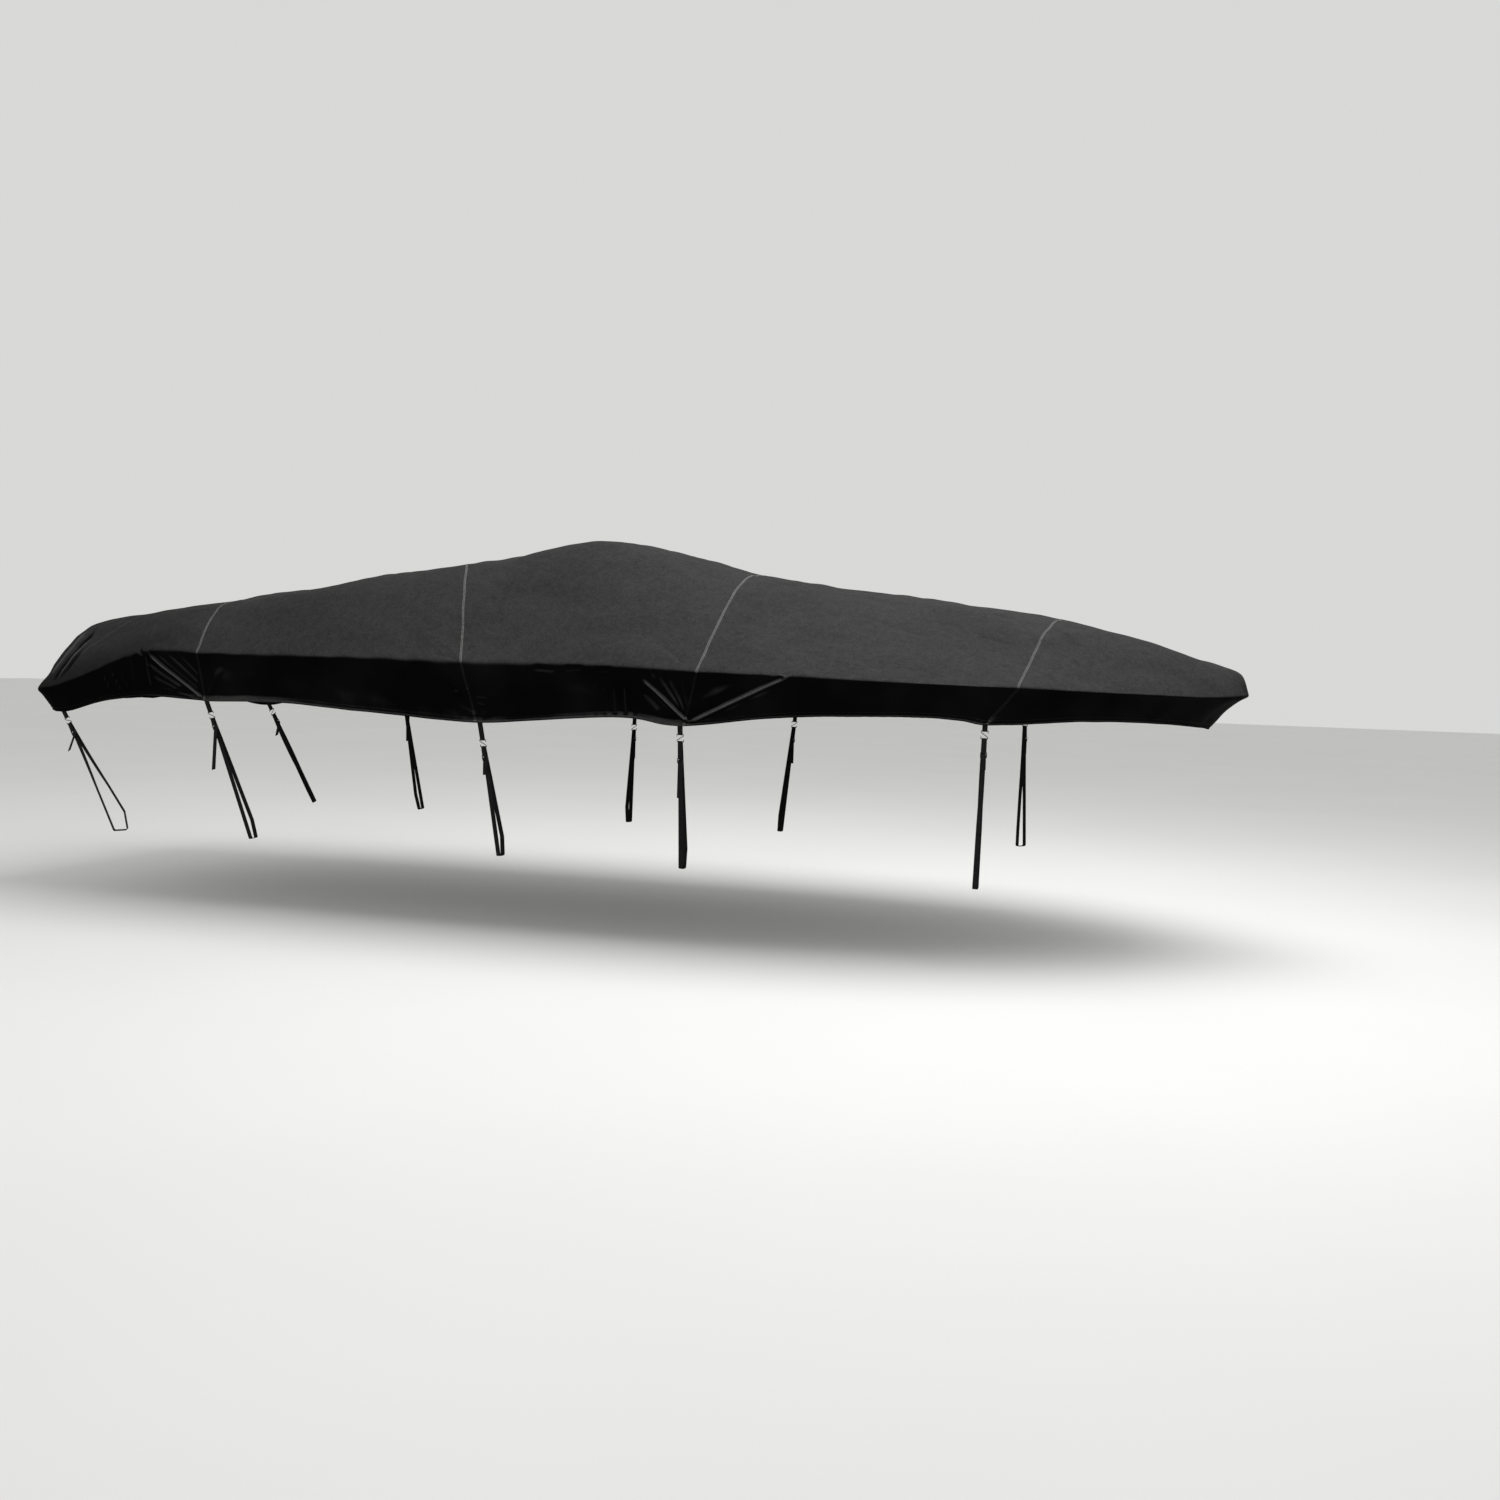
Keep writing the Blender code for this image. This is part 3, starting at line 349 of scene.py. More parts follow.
def outline():
    """Points of the edge crease in plan, |y| positive, from the middle of the stern to the bow tip.

    A shallow parabola across the stern, a quarter circle, a side that tapers with the square of the
    distance, and a bow whose x goes with a power of the sine and y with a power of the cosine.
    """
    across = np.linspace(0.0, STERN_HALF - CORNER_RADIUS, 40)
    stern = np.stack([STERN_X + STERN_BULGE * (across / STERN_HALF) ** 2, across], axis=1)
    centre = stern[-1] + (CORNER_RADIUS, 0.0)
    turn = np.linspace(0.0, math.pi / 2, 20)[1:]
    corner = centre + CORNER_RADIUS * np.stack([-np.cos(turn), np.sin(turn)], axis=1)
    along = np.linspace(corner[-1, 0], BOW_START_X, 80)[1:]
    taper = SIDE_TAPER * ((BOW_START_X - along) / SIDE_TAPER_LENGTH) ** 2
    side = np.stack([along, HALF_BEAM - taper], axis=1)
    angle = np.linspace(0.0, math.pi / 2, 160)[1:]
    bow = np.stack([
        BOW_START_X + BOW_LENGTH * np.sin(angle) ** (2.0 / BOW_FULLNESS),
        HALF_BEAM * np.abs(np.cos(angle)) ** BOW_BLUNTNESS,
    ], axis=1)
    return np.concatenate([stern, corner, side, bow])


OUTLINE = outline()
OUTLINE_S = lengths_along(OUTLINE)


def edge_length(x):
    """Distance along the edge crease, from the middle of the stern, at which it reaches x."""
    return np.interp(x, OUTLINE[:, 0], OUTLINE_S)


def column(rows, columns, name):
    """One named column of a table."""
    return np.array([row[columns.index(name)] for row in rows], dtype=float)


def smooth(s, places, values):
    """Cubic curve through a table's values, with the slope at each place taken from its neighbours."""
    slopes = np.gradient(values, places)
    k = np.clip(np.searchsorted(places, s, side="right") - 1, 0, len(places) - 2)
    span = places[k + 1] - places[k]
    t = (s - places[k]) / span
    start = (2 * t ** 3 - 3 * t ** 2 + 1) * values[k] + (t ** 3 - 2 * t ** 2 + t) * span * slopes[k]
    end = (3 * t ** 2 - 2 * t ** 3) * values[k + 1] + (t ** 3 - t ** 2) * span * slopes[k + 1]
    return start + end


def read(s, rows, columns, name, curve=None):
    """A table's column at distances s along the edge crease, on a curve or straight between its rows."""
    places, values = edge_length(column(rows, columns, "edge_x")), column(rows, columns, name)
    return curve(s, places, values) if curve else np.interp(s, places, values)


def ramp(value, low, high):
    """0 below low, 1 above high, and 3t^2 - 2t^3 between them."""
    t = np.clip((value - low) / (high - low), 0.0, 1.0)
    return t * t * (3.0 - 2.0 * t)


def ribs(s, top_levels, skirt_levels):
    """Points of the ribs at distances s, |y| positive: an array of rib by level by (x, y, z).

    The top rises from the edge by flank * soft_min(1, distance / run), plus a crown that grows with
    1 - level ** CROWN_POWER. The skirt goes down by drop and in by inset, on a line bowed slightly out.
    """
    top = {name: read(s, TOP_ROWS, TOP_COLUMNS, name, smooth) for name in TOP_COLUMNS[1:]}
    skirt = {name: read(s, SKIRT_ROWS, SKIRT_COLUMNS, name, smooth) for name in SKIRT_COLUMNS[1:]}
    edge = between(s, OUTLINE_S, OUTLINE)
    spine = np.stack([top["spine_x"], np.zeros_like(s)], axis=1)
    reach = edge - spine
    length = np.linalg.norm(reach, axis=1)
    v = np.array(top_levels)[None, :]
    plan = spine[:, None, :] + reach[:, None, :] * v[:, :, None]
    share = (1.0 - v) * (length / top["run"])[:, None]
    rise = 1.0 - KNEE * np.logaddexp(0.0, (1.0 - share) / KNEE)
    crown = (top["spine_z"] - top["edge_z"] - top["flank"])[:, None] * (1.0 - v ** CROWN_POWER)
    height = top["edge_z"][:, None] + top["flank"][:, None] * rise + crown
    upper = np.concatenate([plan, height[:, :, None]], axis=2)
    w = np.array(skirt_levels)[None, :]
    inward = -reach / length[:, None]
    forward = np.gradient(edge, s, axis=0)
    inset = skirt["inset"][:, None] * w ** SKIRT_TURN
    lean = skirt["lean"][:, None] * w
    moved = inward[:, None, :] * inset[:, :, None] + forward[:, None, :] * lean[:, :, None]
    lower_plan = edge[:, None, :] + moved
    lower_height = top["edge_z"][:, None] - skirt["drop"][:, None] * w
    lower = np.concatenate([lower_plan, lower_height[:, :, None]], axis=2)
    points = np.concatenate([upper, lower], axis=1)
    points[:, :, 2] -= ORIGIN_HEIGHT
    return points


def rib_places():
    """Distances of the ribs along the edge crease, and the number of the rib on each seam."""
    fine = np.linspace(0.0, OUTLINE_S[-1], 4000)
    density = 1.0 / read(fine, STEP_ROWS, STEP_COLUMNS, "step")
    number = np.concatenate([[0.0], np.cumsum((density[1:] + density[:-1]) / 2 * np.diff(fine))])
    places, seams = [np.zeros(1)], [0]
    for x in column(PANEL_ROWS, PANEL_COLUMNS, "to_x"):
        start, end = np.interp([places[-1][-1], edge_length(x)], fine, number)
        count = math.ceil(end - start)
        places.append(np.interp(np.linspace(start, end, count + 1)[1:], number, fine))
        seams.append(seams[-1] + count)
    return np.concatenate(places), seams


PLACES, SEAMS = rib_places()
TOP_LEVELS = 1.0 - (1.0 - np.linspace(0.0, 1.0, TOP_STEPS + 1)) ** TOP_CROWDING
SKIRT_LEVELS = 1.0 - (1.0 - np.linspace(0.0, 1.0, SKIRT_STEPS + 1)[1:]) ** SKIRT_CROWDING
LEVELS = np.concatenate([TOP_LEVELS - 1.0, SKIRT_LEVELS])


def slid_ribs(places):
    """The ribs at places, with the points of their tops slid by the slide times 1 - level."""
    half = ribs(places, TOP_LEVELS, SKIRT_LEVELS)
    slide = read(places, SLIDE_ROWS, SLIDE_COLUMNS, "slide")
    for number, level in enumerate(TOP_LEVELS):
        half[:, number] = ribs(places + slide * (1.0 - level), (level,), ())[:, 0]
    return half


def grid_normals(grid):
    """Unit normals of a grid of points: the cross product of its two directions of change."""
    normals = np.cross(np.gradient(grid, axis=0), np.gradient(grid, axis=1))
    size = np.linalg.norm(normals, axis=2, keepdims=True)
    return normals / np.where(size > 0, size, 1.0)


def bare_place(x, level, side):
    """The point at a level of the rib whose edge is at x, on the cloth without its folds."""
    s = np.array([edge_length(x) - 0.01, edge_length(x), edge_length(x) + 0.01])
    if level > 0:
        point = ribs(s, (1.0,), (level,))[1, 1]
    else:
        point = ribs(s, (1.0 + level,), (1.0,))[1, 0]
    return point * (1.0, side, 1.0)


def fold_height(grid, normals, side):
    """How far one side's folds raise the cloth.

    Across a fold, measured along the cloth: a bell less TROUGH of a bell TROUGH_WIDTH as wide. Along it: up
    over the first FOLD_START of its length and down over the last FOLD_END.
    """
    raised = np.zeros(grid.shape[:-1])
    for fold in rows_of(FOLD_ROWS[side], FOLD_COLUMNS):
        start = bare_place(fold["from_x"], fold["from_level"], side)
        run = bare_place(fold["to_x"], fold["to_level"], side) - start
        t = (grid - start) @ run / (run @ run)
        away = grid - start - np.clip(t, 0.0, 1.0)[..., None] * run
        depth = (away * normals).sum(axis=-1)
        away = np.linalg.norm(away - np.clip(depth, -FOLD_DEPTH, FOLD_DEPTH)[..., None] * normals, axis=-1)
        along = ramp(t, -FOLD_LEAD, FOLD_START) * (1.0 - ramp(t, 1.0 - FOLD_END, 1.0 + FOLD_TAIL))
        across = away / (fold["width"] * MM)
        bell = np.exp(-across ** 2) - TROUGH * np.exp(-(across / TROUGH_WIDTH) ** 2)
        raised += fold["height"] * MM * along * bell / (1.0 - TROUGH)
    return raised


def ripples(grid):
    """Slight unevenness all over: a sum of sine waves in set directions, higher the longer they are."""
    rng = np.random.default_rng(RIPPLE_SEED)
    raised = np.zeros(grid.shape[:-1])
    for length in np.geomspace(RIPPLE_LONG, RIPPLE_SHORT, RIPPLE_COUNT):
        direction = unit(rng.normal(size=3) * RIPPLE_SPREAD)
        phase = rng.uniform(0.0, 2 * math.pi)
        raised += RIPPLE_HEIGHT * (length / RIPPLE_LONG) ** RIPPLE_POWER * np.sin(
            grid @ direction * (2 * math.pi / length) + phase)
    return raised


def hem_relief(s, to_hem, side):
    """How far the hem stands out, by the distance to the hem's edge.

    The turned-up band is a small step and the rope in it a half round bead. Where the hem flares, it turns
    out with (1 - distance / HEM_FLARE) ** HEM_TURN. Gathers are waves along the hem whose length wanders
    and which fade upwards.
    """
    band = HEM_RISE * ramp(-to_hem, -HEM_BAND, -HEM_BAND + 2 * MM)
    bead = HEM_BEAD * np.sqrt(np.clip(1.0 - ((to_hem - HEM_ROPE / 2) / (HEM_ROPE / 2)) ** 2, 0.0, 1.0))
    flare = read(s, FLARE_ROWS, FLARE_COLUMNS, "out")[:, None]
    flare = flare * np.clip(1.0 - to_hem / HEM_FLARE, 0.0, 1.0) ** HEM_TURN
    wander = sum(size * np.sin(rate * s + turn * side) for size, rate, turn in GATHER_WANDER)
    wave = np.sin(2 * math.pi * s / GATHER_LENGTH + GATHER_BEND * wander)
    strength = 0.5 + 0.5 * np.sin(2.3 * s + 1.1 + 0.8 * side)
    gathers = (GATHER_HEIGHT * strength * wave)[:, None] * np.exp(-to_hem / GATHER_FADE)
    return band + bead + flare + gathers


def both_sides(starboard, port):
    """Two sides' values joined at the spine, from the starboard hem to the port hem."""
    return np.concatenate([starboard[:, :0:-1], port], axis=1)


def cover():
    """The whole cloth as a grid of rib by place from the starboard hem over the spine to the port hem.

    Returns its points, normals, and for each place the distance from the edge crease along the rib and how
    far a fold raises it. At the ends, where the sides share their points, both have starboard's relief.
    """
    half = slid_ribs(PLACES)
    steps = np.linalg.norm(np.diff(half, axis=1), axis=2)
    run = np.concatenate([np.zeros((len(half), 1)), np.cumsum(steps, axis=1)], axis=1)
    run -= run[:, TOP_STEPS:TOP_STEPS + 1]
    softness = np.exp(-(run / CREASE_SOFT) ** 2)[:, 1:-1, None]
    for _ in range(CREASE_ROUNDS):
        middle = (half[:, :-2] + half[:, 2:]) / 2
        half[:, 1:-1] += 0.5 * softness * (middle - half[:, 1:-1])
    sides = [half * (1.0, side, 1.0) for side in SIDES]
    grid = both_sides(*sides)
    normals = grid_normals(grid)
    middle = len(LEVELS) - 1
    folds, relief = [], []
    for side, points, facing in zip(SIDES, sides, (normals[:, middle::-1], normals[:, middle:])):
        folds.append(fold_height(points, facing, side))
        relief.append(folds[-1] + ripples(points) + hem_relief(PLACES, run[:, -1:] - run, side))
    ends = ramp(PLACES, 0.0, END_FADE) * (1.0 - ramp(PLACES, PLACES[-1] - END_FADE, PLACES[-1]))
    level = both_sides(relief[0], relief[0])
    raised = level + (both_sides(*relief) - level) * ends[:, None]
    normals[0], normals[-1] = end_normals(normals[0]), end_normals(normals[-1])
    grid = grid + normals * raised[:, :, None]
    fresh = grid_normals(grid)
    fresh[0], fresh[-1] = end_normals(fresh[0]), end_normals(fresh[-1])
    return grid, fresh, both_sides(run, run), both_sides(*folds)


def end_normals(normals):
    """Normals of an end rib, where both sides share their points: the two sides' mean.

    In the middle, where the grid turns back on itself, it is the neighbour's.
    """
    both = (normals + normals[::-1]) * (1.0, 0.0, 1.0)
    both[len(both) // 2] = both[len(both) // 2 + 1]
    return unit(both)


GRID, NORMALS, ACROSS, FOLDS = cover()


def on_cloth(side, s, level):
    """Points and normals of the cloth at distances s and levels, between the grid's own by halves."""
    row = np.interp(s, PLACES, np.arange(len(PLACES)))
    middle = len(LEVELS) - 1
    place = middle + side * np.interp(level, LEVELS, np.arange(len(LEVELS)))
    i = np.clip(np.floor(row).astype(int), 0, len(PLACES) - 2)
    j = np.clip(np.floor(place).astype(int), 0, 2 * middle - 1)
    a, b = (row - i)[:, None], (place - j)[:, None]
    found = []
    for field in (GRID, NORMALS):
        low = field[i, j] * (1 - b) + field[i, j + 1] * b
        high = field[i + 1, j] * (1 - b) + field[i + 1, j + 1] * b
        found.append(low * (1 - a) + high * a)
    return found[0], unit(found[1])


# Meshes -----------------------------------------------------------------------------------------

def add_mesh(name, points, faces, material, uv=None, smooth_angle=None, values=()):
    """A mesh object at the origin with its place in its mesh.

    Uv has one pair for each corner of a face, and values are pairs of a name and a number for each point.
    """
    mesh = bpy.data.meshes.new(name)
    mesh.from_pydata(np.asarray(points, dtype=float).tolist(), [], [list(face) for face in faces])
    mesh.materials.append(material)
    if uv is not None:
        layer = mesh.uv_layers.new(name="cloth")
        layer.data.foreach_set("uv", np.asarray(uv, dtype=np.float32).ravel())
    for label, numbers in values:
        layer = mesh.attributes.new(label, "FLOAT", "POINT")
        layer.data.foreach_set("value", np.asarray(numbers, dtype=np.float32).ravel())
    mesh.shade_smooth()
    if smooth_angle is not None:
        mesh.set_sharp_from_angle(angle=math.radians(smooth_angle))
    obj = bpy.data.objects.new(name, mesh)
    bpy.context.scene.collection.objects.link(obj)
    return obj


def rim_quads(quads, count):
    """Walls from a sheet's free edges, which only one quad has, to its other face, numbered count higher."""
    edges = np.concatenate([quads[:, [k, (k + 1) % 4]] for k in range(4)])
    own = edges[:, 0] * count + edges[:, 1]
    back = edges[:, 1] * count + edges[:, 0]
    first, last = edges[~np.isin(own, back)].T
    return np.stack([last, first, first + count, last + count], axis=1)


def cut_along(quads, across):
    """Each quad as two triangles, cut from its first to its third corner where across holds."""
    first = np.where(across[:, None], quads[:, [0, 1, 2]], quads[:, [0, 1, 3]])
    second = np.where(across[:, None], quads[:, [0, 2, 3]], quads[:, [1, 2, 3]])
    return np.concatenate([first, second])


def cut_quads(quads, normals):
    """Each quad as two triangles, cut along the diagonal that lies the flattest.

    Of its two diagonals that is the one whose ends' normals differ the least. At the end ribs, where the two
    sides share their points, a quad whose half would lie on its neighbour's is cut the other way.
    """
    a, b, c, d = (normals[quads[:, k]] for k in range(4))
    across = (a * c).sum(axis=1) >= (b * d).sum(axis=1)
    halves = np.sort(cut_along(quads, across), axis=1)
    _, first, times = np.unique(halves, axis=0, return_index=True, return_counts=True)
    doubled = first[times > 1] % len(quads)
    across[doubled] = ~across[doubled]
    return cut_along(quads, across)


def add_panel(name, first, last, material):
    """The cloth between two ribs as a closed sheet: outer face, inner face CLOTH below it, and its rim."""
    rows, columns = last - first + 1, GRID.shape[1]
    number = np.arange(rows * columns).reshape(rows, columns)
    half = columns // 2
    if first == 0:
        number[0, :half] = number[0, :half:-1]
    if last == len(PLACES) - 1:
        number[-1, :half] = number[-1, :half:-1]
    quads = np.stack([number[:-1, :-1], number[1:, :-1], number[1:, 1:], number[:-1, 1:]], axis=2)
    used, flat = np.unique(quads.reshape(-1, 4), return_inverse=True)
    flat = flat.reshape(-1, 4)
    outer = GRID[first:last + 1].reshape(-1, 3)[used]
    normals = NORMALS[first:last + 1].reshape(-1, 3)[used]
    count = len(used)
    rim = rim_quads(flat, count)
    cut = cut_quads(flat, normals)
    faces = np.concatenate([cut, cut[:, ::-1] + count, rim[:, [0, 1, 2]], rim[:, [0, 2, 3]]])
    along = np.repeat(PLACES[first:last + 1], columns)[used]
    across = ACROSS[first:last + 1].reshape(-1)[used]
    places = np.tile(np.stack([along, across], axis=1), (2, 1))
    folds = np.tile(FOLDS[first:last + 1].reshape(-1)[used] * 100.0, 2)
    return add_mesh(name, np.concatenate([outer, outer - CLOTH * normals]), faces.tolist(), material,
                    places[faces], 50, [("fold", folds)])


def tube_walls(count, sides):
    """The numbers of the points of a tube's rings, and its walls as quads."""
    number = np.arange(count * sides).reshape(count, sides)
    turned = np.roll(number, -1, axis=1)
    return number, np.stack([number[:-1], turned[:-1], turned[1:], number[1:]], axis=2).reshape(-1, 4)


def add_tube(name, rings, material, around=None, smooth_angle=40, values=()):
    """A closed solid through rings of points, with flat ends.

    Around gives each ring point's place across the surface for the pattern, and the place along it is the
    length of the line through the rings' middles. Values are pairs of a name and a number for each ring.
    """
    count, sides = rings.shape[:2]
    number, walls = tube_walls(count, sides)
    flat = rings.reshape(-1, 3)
    a, b, c, d = (flat[walls[:, k]] for k in range(4))
    volume = np.einsum("ij,ij->", a, np.cross(b, c)) + np.einsum("ij,ij->", a, np.cross(c, d))
    ends = [number[0, ::-1], number[-1]]
    if volume < 0:
        walls = walls[:, ::-1]
        ends = [end[::-1] for end in ends]
    if around is None:
        around = np.arange(sides) / sides * 2 * math.pi * WIRE
    lengths = lengths_along(rings.mean(axis=1))
    places = np.stack([np.tile(around, count), np.repeat(lengths, sides)], axis=1)
    uv = np.concatenate([places[walls].reshape(-1, 2), *(places[end] for end in ends)])
    faces = [*walls.tolist(), *(end.tolist() for end in ends)]
    values = [(label, np.repeat(numbers, sides)) for label, numbers in values]
    return add_mesh(name, flat, faces, material, uv, smooth_angle, values)


def add_stitches(name, centres, along, normals, material):
    """Stitches at centres, lying along a direction on a surface: low bars, full in the middle.

    One stitch is a grid of STITCH_RINGS by STITCH_SECTION, and all of them are one array.
    """
    across = np.cross(normals, along)
    rings, sides = len(STITCH_RINGS), len(STITCH_SECTION)
    shape = np.array([[(t * STITCH_LENGTH, u * fat * STITCH_WIDTH, h * fat * STITCH_HEIGHT)
                       for u, h in STITCH_SECTION] for t, fat in STITCH_RINGS]).reshape(-1, 3)
    axes = np.stack([along, across, normals], axis=1)
    points = centres[:, None, :] + np.einsum("pk,nkc->npc", shape, axes)
    number, walls = tube_walls(rings, sides)
    quads = np.concatenate([walls[:, [0, 3, 2, 1]], [number[0], number[-1, ::-1]]])
    faces = (quads[None] + (np.arange(len(centres)) * rings * sides)[:, None, None]).reshape(-1, 4)
    facing = np.repeat(normals[:, 2], rings * sides)
    return add_mesh(name, points.reshape(-1, 3), faces.tolist(), material, values=[("sky", facing)])


def spread(points, normals, pitch):
    """Places at an even pitch along a line of points: their centres, directions and normals."""
    lengths = lengths_along(points)
    at = np.arange(pitch / 2, lengths[-1], pitch)
    along = unit(between(at + pitch / 4, lengths, points) - between(at - pitch / 4, lengths, points))
    up = between(at, lengths, normals)
    up = unit(up - (up * along).sum(axis=1, keepdims=True) * along)
    return between(at, lengths, points), along, up


def seam_line(x):
    """The cloth's points and normals along one seam, from the starboard to the port hem."""
    skirt_points, top_points = SEAM_POINTS
    levels = np.concatenate([np.linspace(1.0, 0.0, skirt_points), np.linspace(0.0, -1.0, top_points)[1:]])
    s = np.full(len(levels), edge_length(x))
    starboard, up_starboard = on_cloth(-1, s, levels)
    port, up_port = on_cloth(1, s, levels)
    points = np.concatenate([starboard, port[-2::-1]])
    return points, np.concatenate([up_starboard, up_port[-2::-1]])


def add_seam(name, x, cloth, thread):
    """A felled seam: a profile carried along the seam's line, drawn in a little between its stitches."""
    points, normals = seam_line(x)
    centres, along, up = spread(points, normals, SEAM_STEP)
    across = np.cross(up, along)
    number = np.arange(len(centres))
    pucker = sum((size * np.sin(number * rate) for size, rate in SEAM_PUCKER), 1.0)
    wide, thick = np.array(SEAM_PROFILE).T * MM
    lift = thick * np.where(thick > 0, pucker[:, None], 1.0)
    rings = centres[:, None] + wide[:, None] * across[:, None] + lift[:, :, None] * up[:, None]
    strip = add_tube(name + "_seam", rings, cloth, around=wide, values=[("sky", up[:, 2])])
    centres, along, up = spread(points, normals, STITCH_PITCH)
    across = np.cross(up, along)
    rows = [centres + side * STITCH_ROW * across + STITCH_LIFT * up for side in SIDES]
    stitches = add_stitches(name + "_seam_stitches", np.concatenate(rows), np.tile(along, (2, 1)),
                            np.tile(up, (2, 1)), thread)
    return strip, stitches


def add_hem_stitches(name, start_x, end_x, thread):
    """Rows of stitches that hold the turned-up hem, HEM_STITCH above its edge, on both sides."""
    s = np.linspace(edge_length(start_x), edge_length(end_x), LINE_POINTS)
    level = 1.0 - HEM_STITCH / read(s, SKIRT_ROWS, SKIRT_COLUMNS, "drop", smooth)
    found = [spread(*on_cloth(side, s, level), STITCH_PITCH) for side in SIDES]
    centres, along, up = (np.concatenate([one[k] for one in found]) for k in range(3))
    return add_stitches(name, centres + HEM_STITCH_LIFT * up, along, up, thread)


# Straps -----------------------------------------------------------------------------------------

def rounded(corners, radii, steps):
    """A path through corners, each turned on an arc of its radius in a number of steps."""
    corners = np.array(corners, dtype=float)
    path = [corners[0]]
    for before, corner, after, radius in zip(corners[:-2], corners[1:-1], corners[2:], radii):
        if radius == 0.0:
            path.append(corner)
            continue
        back, ahead = unit(before - corner), unit(after - corner)
        half = 0.5 * math.acos(back @ ahead)
        centre = corner + unit(back + ahead) * radius / math.sin(half)
        first = corner + back * radius / math.tan(half) - centre
        last = corner + ahead * radius / math.tan(half) - centre
        swing = math.pi - 2 * half
        for share in np.linspace(0.0, 1.0, steps + 1):
            turned = math.sin((1 - share) * swing) * first + math.sin(share * swing) * last
            path.append(centre + turned / math.sin(swing))
    path.append(corners[-1])
    return np.array(path)


def divided(path, step):
    """The path with its long stretches cut into lengths of step or less."""
    parts = []
    for start, end in zip(path[:-1], path[1:]):
        count = math.ceil(np.linalg.norm(end - start) / step)
        parts.extend(start + (end - start) * k / count for k in range(count))
    return np.array([*parts, path[-1]])


def path_sides(path):
    """For each point of a flat path, the direction to its side, lengthened at turns as a mitre is."""
    steps = unit(np.diff(path[:, :2], axis=0))
    before = np.concatenate([steps[:1], steps])
    after = np.concatenate([steps, steps[-1:]])
    side = unit(np.stack([before[:, 1] + after[:, 1], -before[:, 0] - after[:, 0]], axis=1))
    return side / (side[:, :1] * before[:, 1:] - side[:, 1:] * before[:, :1])


class StrapAxes:
    """A strap's own axes: out to its outer side, up along it and wide across the webbing.

    The origin is top, on the hook's plane beside the hem. Out is out_top there and turns to out_foot
    between TURN_START and TURN_END below it.
    """

    def __init__(self, top, foot, out_top, out_foot):
        self.top = top
        self.foot = foot
        self.foot_side = unit(out_foot)
        self.up = unit(top - foot)
        self.out_top = self.square(out_top)
        self.wide_top = np.cross(self.out_top, self.up)
        turned = self.square(out_foot)
        self.turn = math.atan2(-turned @ self.wide_top, turned @ self.out_top)

    def square(self, direction):
        """A direction made square to the strap's length."""
        return unit(direction - (direction @ self.up) * self.up)

    def axes(self, heights):
        """The out and the wide direction at heights above the origin."""
        share = np.clip((-heights - TURN_START) / (TURN_END - TURN_START), 0.0, 1.0)
        angle = (self.turn * share)[:, None]
        out = np.cos(angle) * self.out_top - np.sin(angle) * self.wide_top
        return out, np.cross(out, self.up)

    def place(self, path, lift):
        """The path's (out, up, wide) places set in space, each lifted along its wide direction."""
        out, wide = self.axes(path[:, 1])
        return self.top + path[:, :1] * out + path[:, 1:2] * self.up + (path[:, 2:] + lift) * wide

    def foot_place(self, side, height):
        """The place on the strap's middle plane this far to the foot's outer side and above the foot."""
        out = self.axes(np.array([-TURN_END]))[0][0]
        target = self.foot + side * self.foot_side + (0.0, 0.0, height) - self.top
        matrix = ((out @ self.foot_side, self.up @ self.foot_side), (out[2], self.up[2]))
        return (*np.linalg.solve(matrix, (target @ self.foot_side, target[2])), 0.0)


def add_webbing(name, path, axes, material):
    """Webbing along a path in the strap's axes: WEB_SECTION, with its rounded selvedges, carried along."""
    path = divided(path, RUN_STEP)
    side = np.pad(path_sides(path), ((0, 0), (0, 1)))
    section = np.array(WEB_SECTION) * MM
    rings = np.stack([axes.place(path + thick * side, wide) for thick, wide in section], axis=1)
    return add_tube(name, rings, material, around=section[:, 1])


def add_tab(name, axes, low, bend, material):
    """The tab: two layers sewn inside the hem, joined by a loop under the hook's upper bar."""
    lean = bend * (TAB_SEWN + TAB_CLEAR)
    corners = (
        (LOOP - lean, TAB_SEWN, 0.0),
        (LOOP, -TAB_CLEAR, 0.0),
        (LOOP, low, 0.0),
        (-LOOP, low, 0.0),
        (-LOOP, -TAB_CLEAR, 0.0),
        (-LOOP - lean, TAB_SEWN, 0.0),
    )
    path = rounded(corners, (0.0, LOOP_CORNER, LOOP_CORNER, 0.0), ARC_STEPS)
    return add_webbing(name, path, axes, material)


def add_hook(name, axes, height, face, material):
    """The flat S of round wire: a bar in the tab's loop, a slanting middle and a bar in the band's loop."""
    a, h, turn, tip = HOOK_HALF_WIDTH, HOOK_HALF_HEIGHT, HOOK_TURN, HOOK_TIP
    corners = ((-a, tip), (-a, h), (a, h), (a, turn), (-a, -turn), (-a, -h), (a, -h), (a, -tip))
    flat = rounded(corners, [HOOK_CORNER] * (len(corners) - 2), ARC_STEPS) * (face, 1.0)
    first, last = (near + unit(near - far) * WIRE * TIP_OUT for near, far in (flat[:2], flat[:-3:-1]))
    flat = np.array([first, *flat, last])
    side = path_sides(flat)
    radius = np.full(len(flat), WIRE)
    radius[[0, -1]] *= TIP_RADIUS
    points = axes.top + flat[:, :1] * axes.wide_top + (flat[:, 1:] + height) * axes.up
    across = side[:, :1] * axes.wide_top + side[:, 1:] * axes.up
    angles = 2 * math.pi * np.arange(WIRE_SIDES) / WIRE_SIDES
    rings = [points + radius[:, None] * (math.cos(a) * across + math.sin(a) * axes.out_top) for a in angles]
    return add_tube(name, np.stack(rings, axis=1), material, smooth_angle=60)


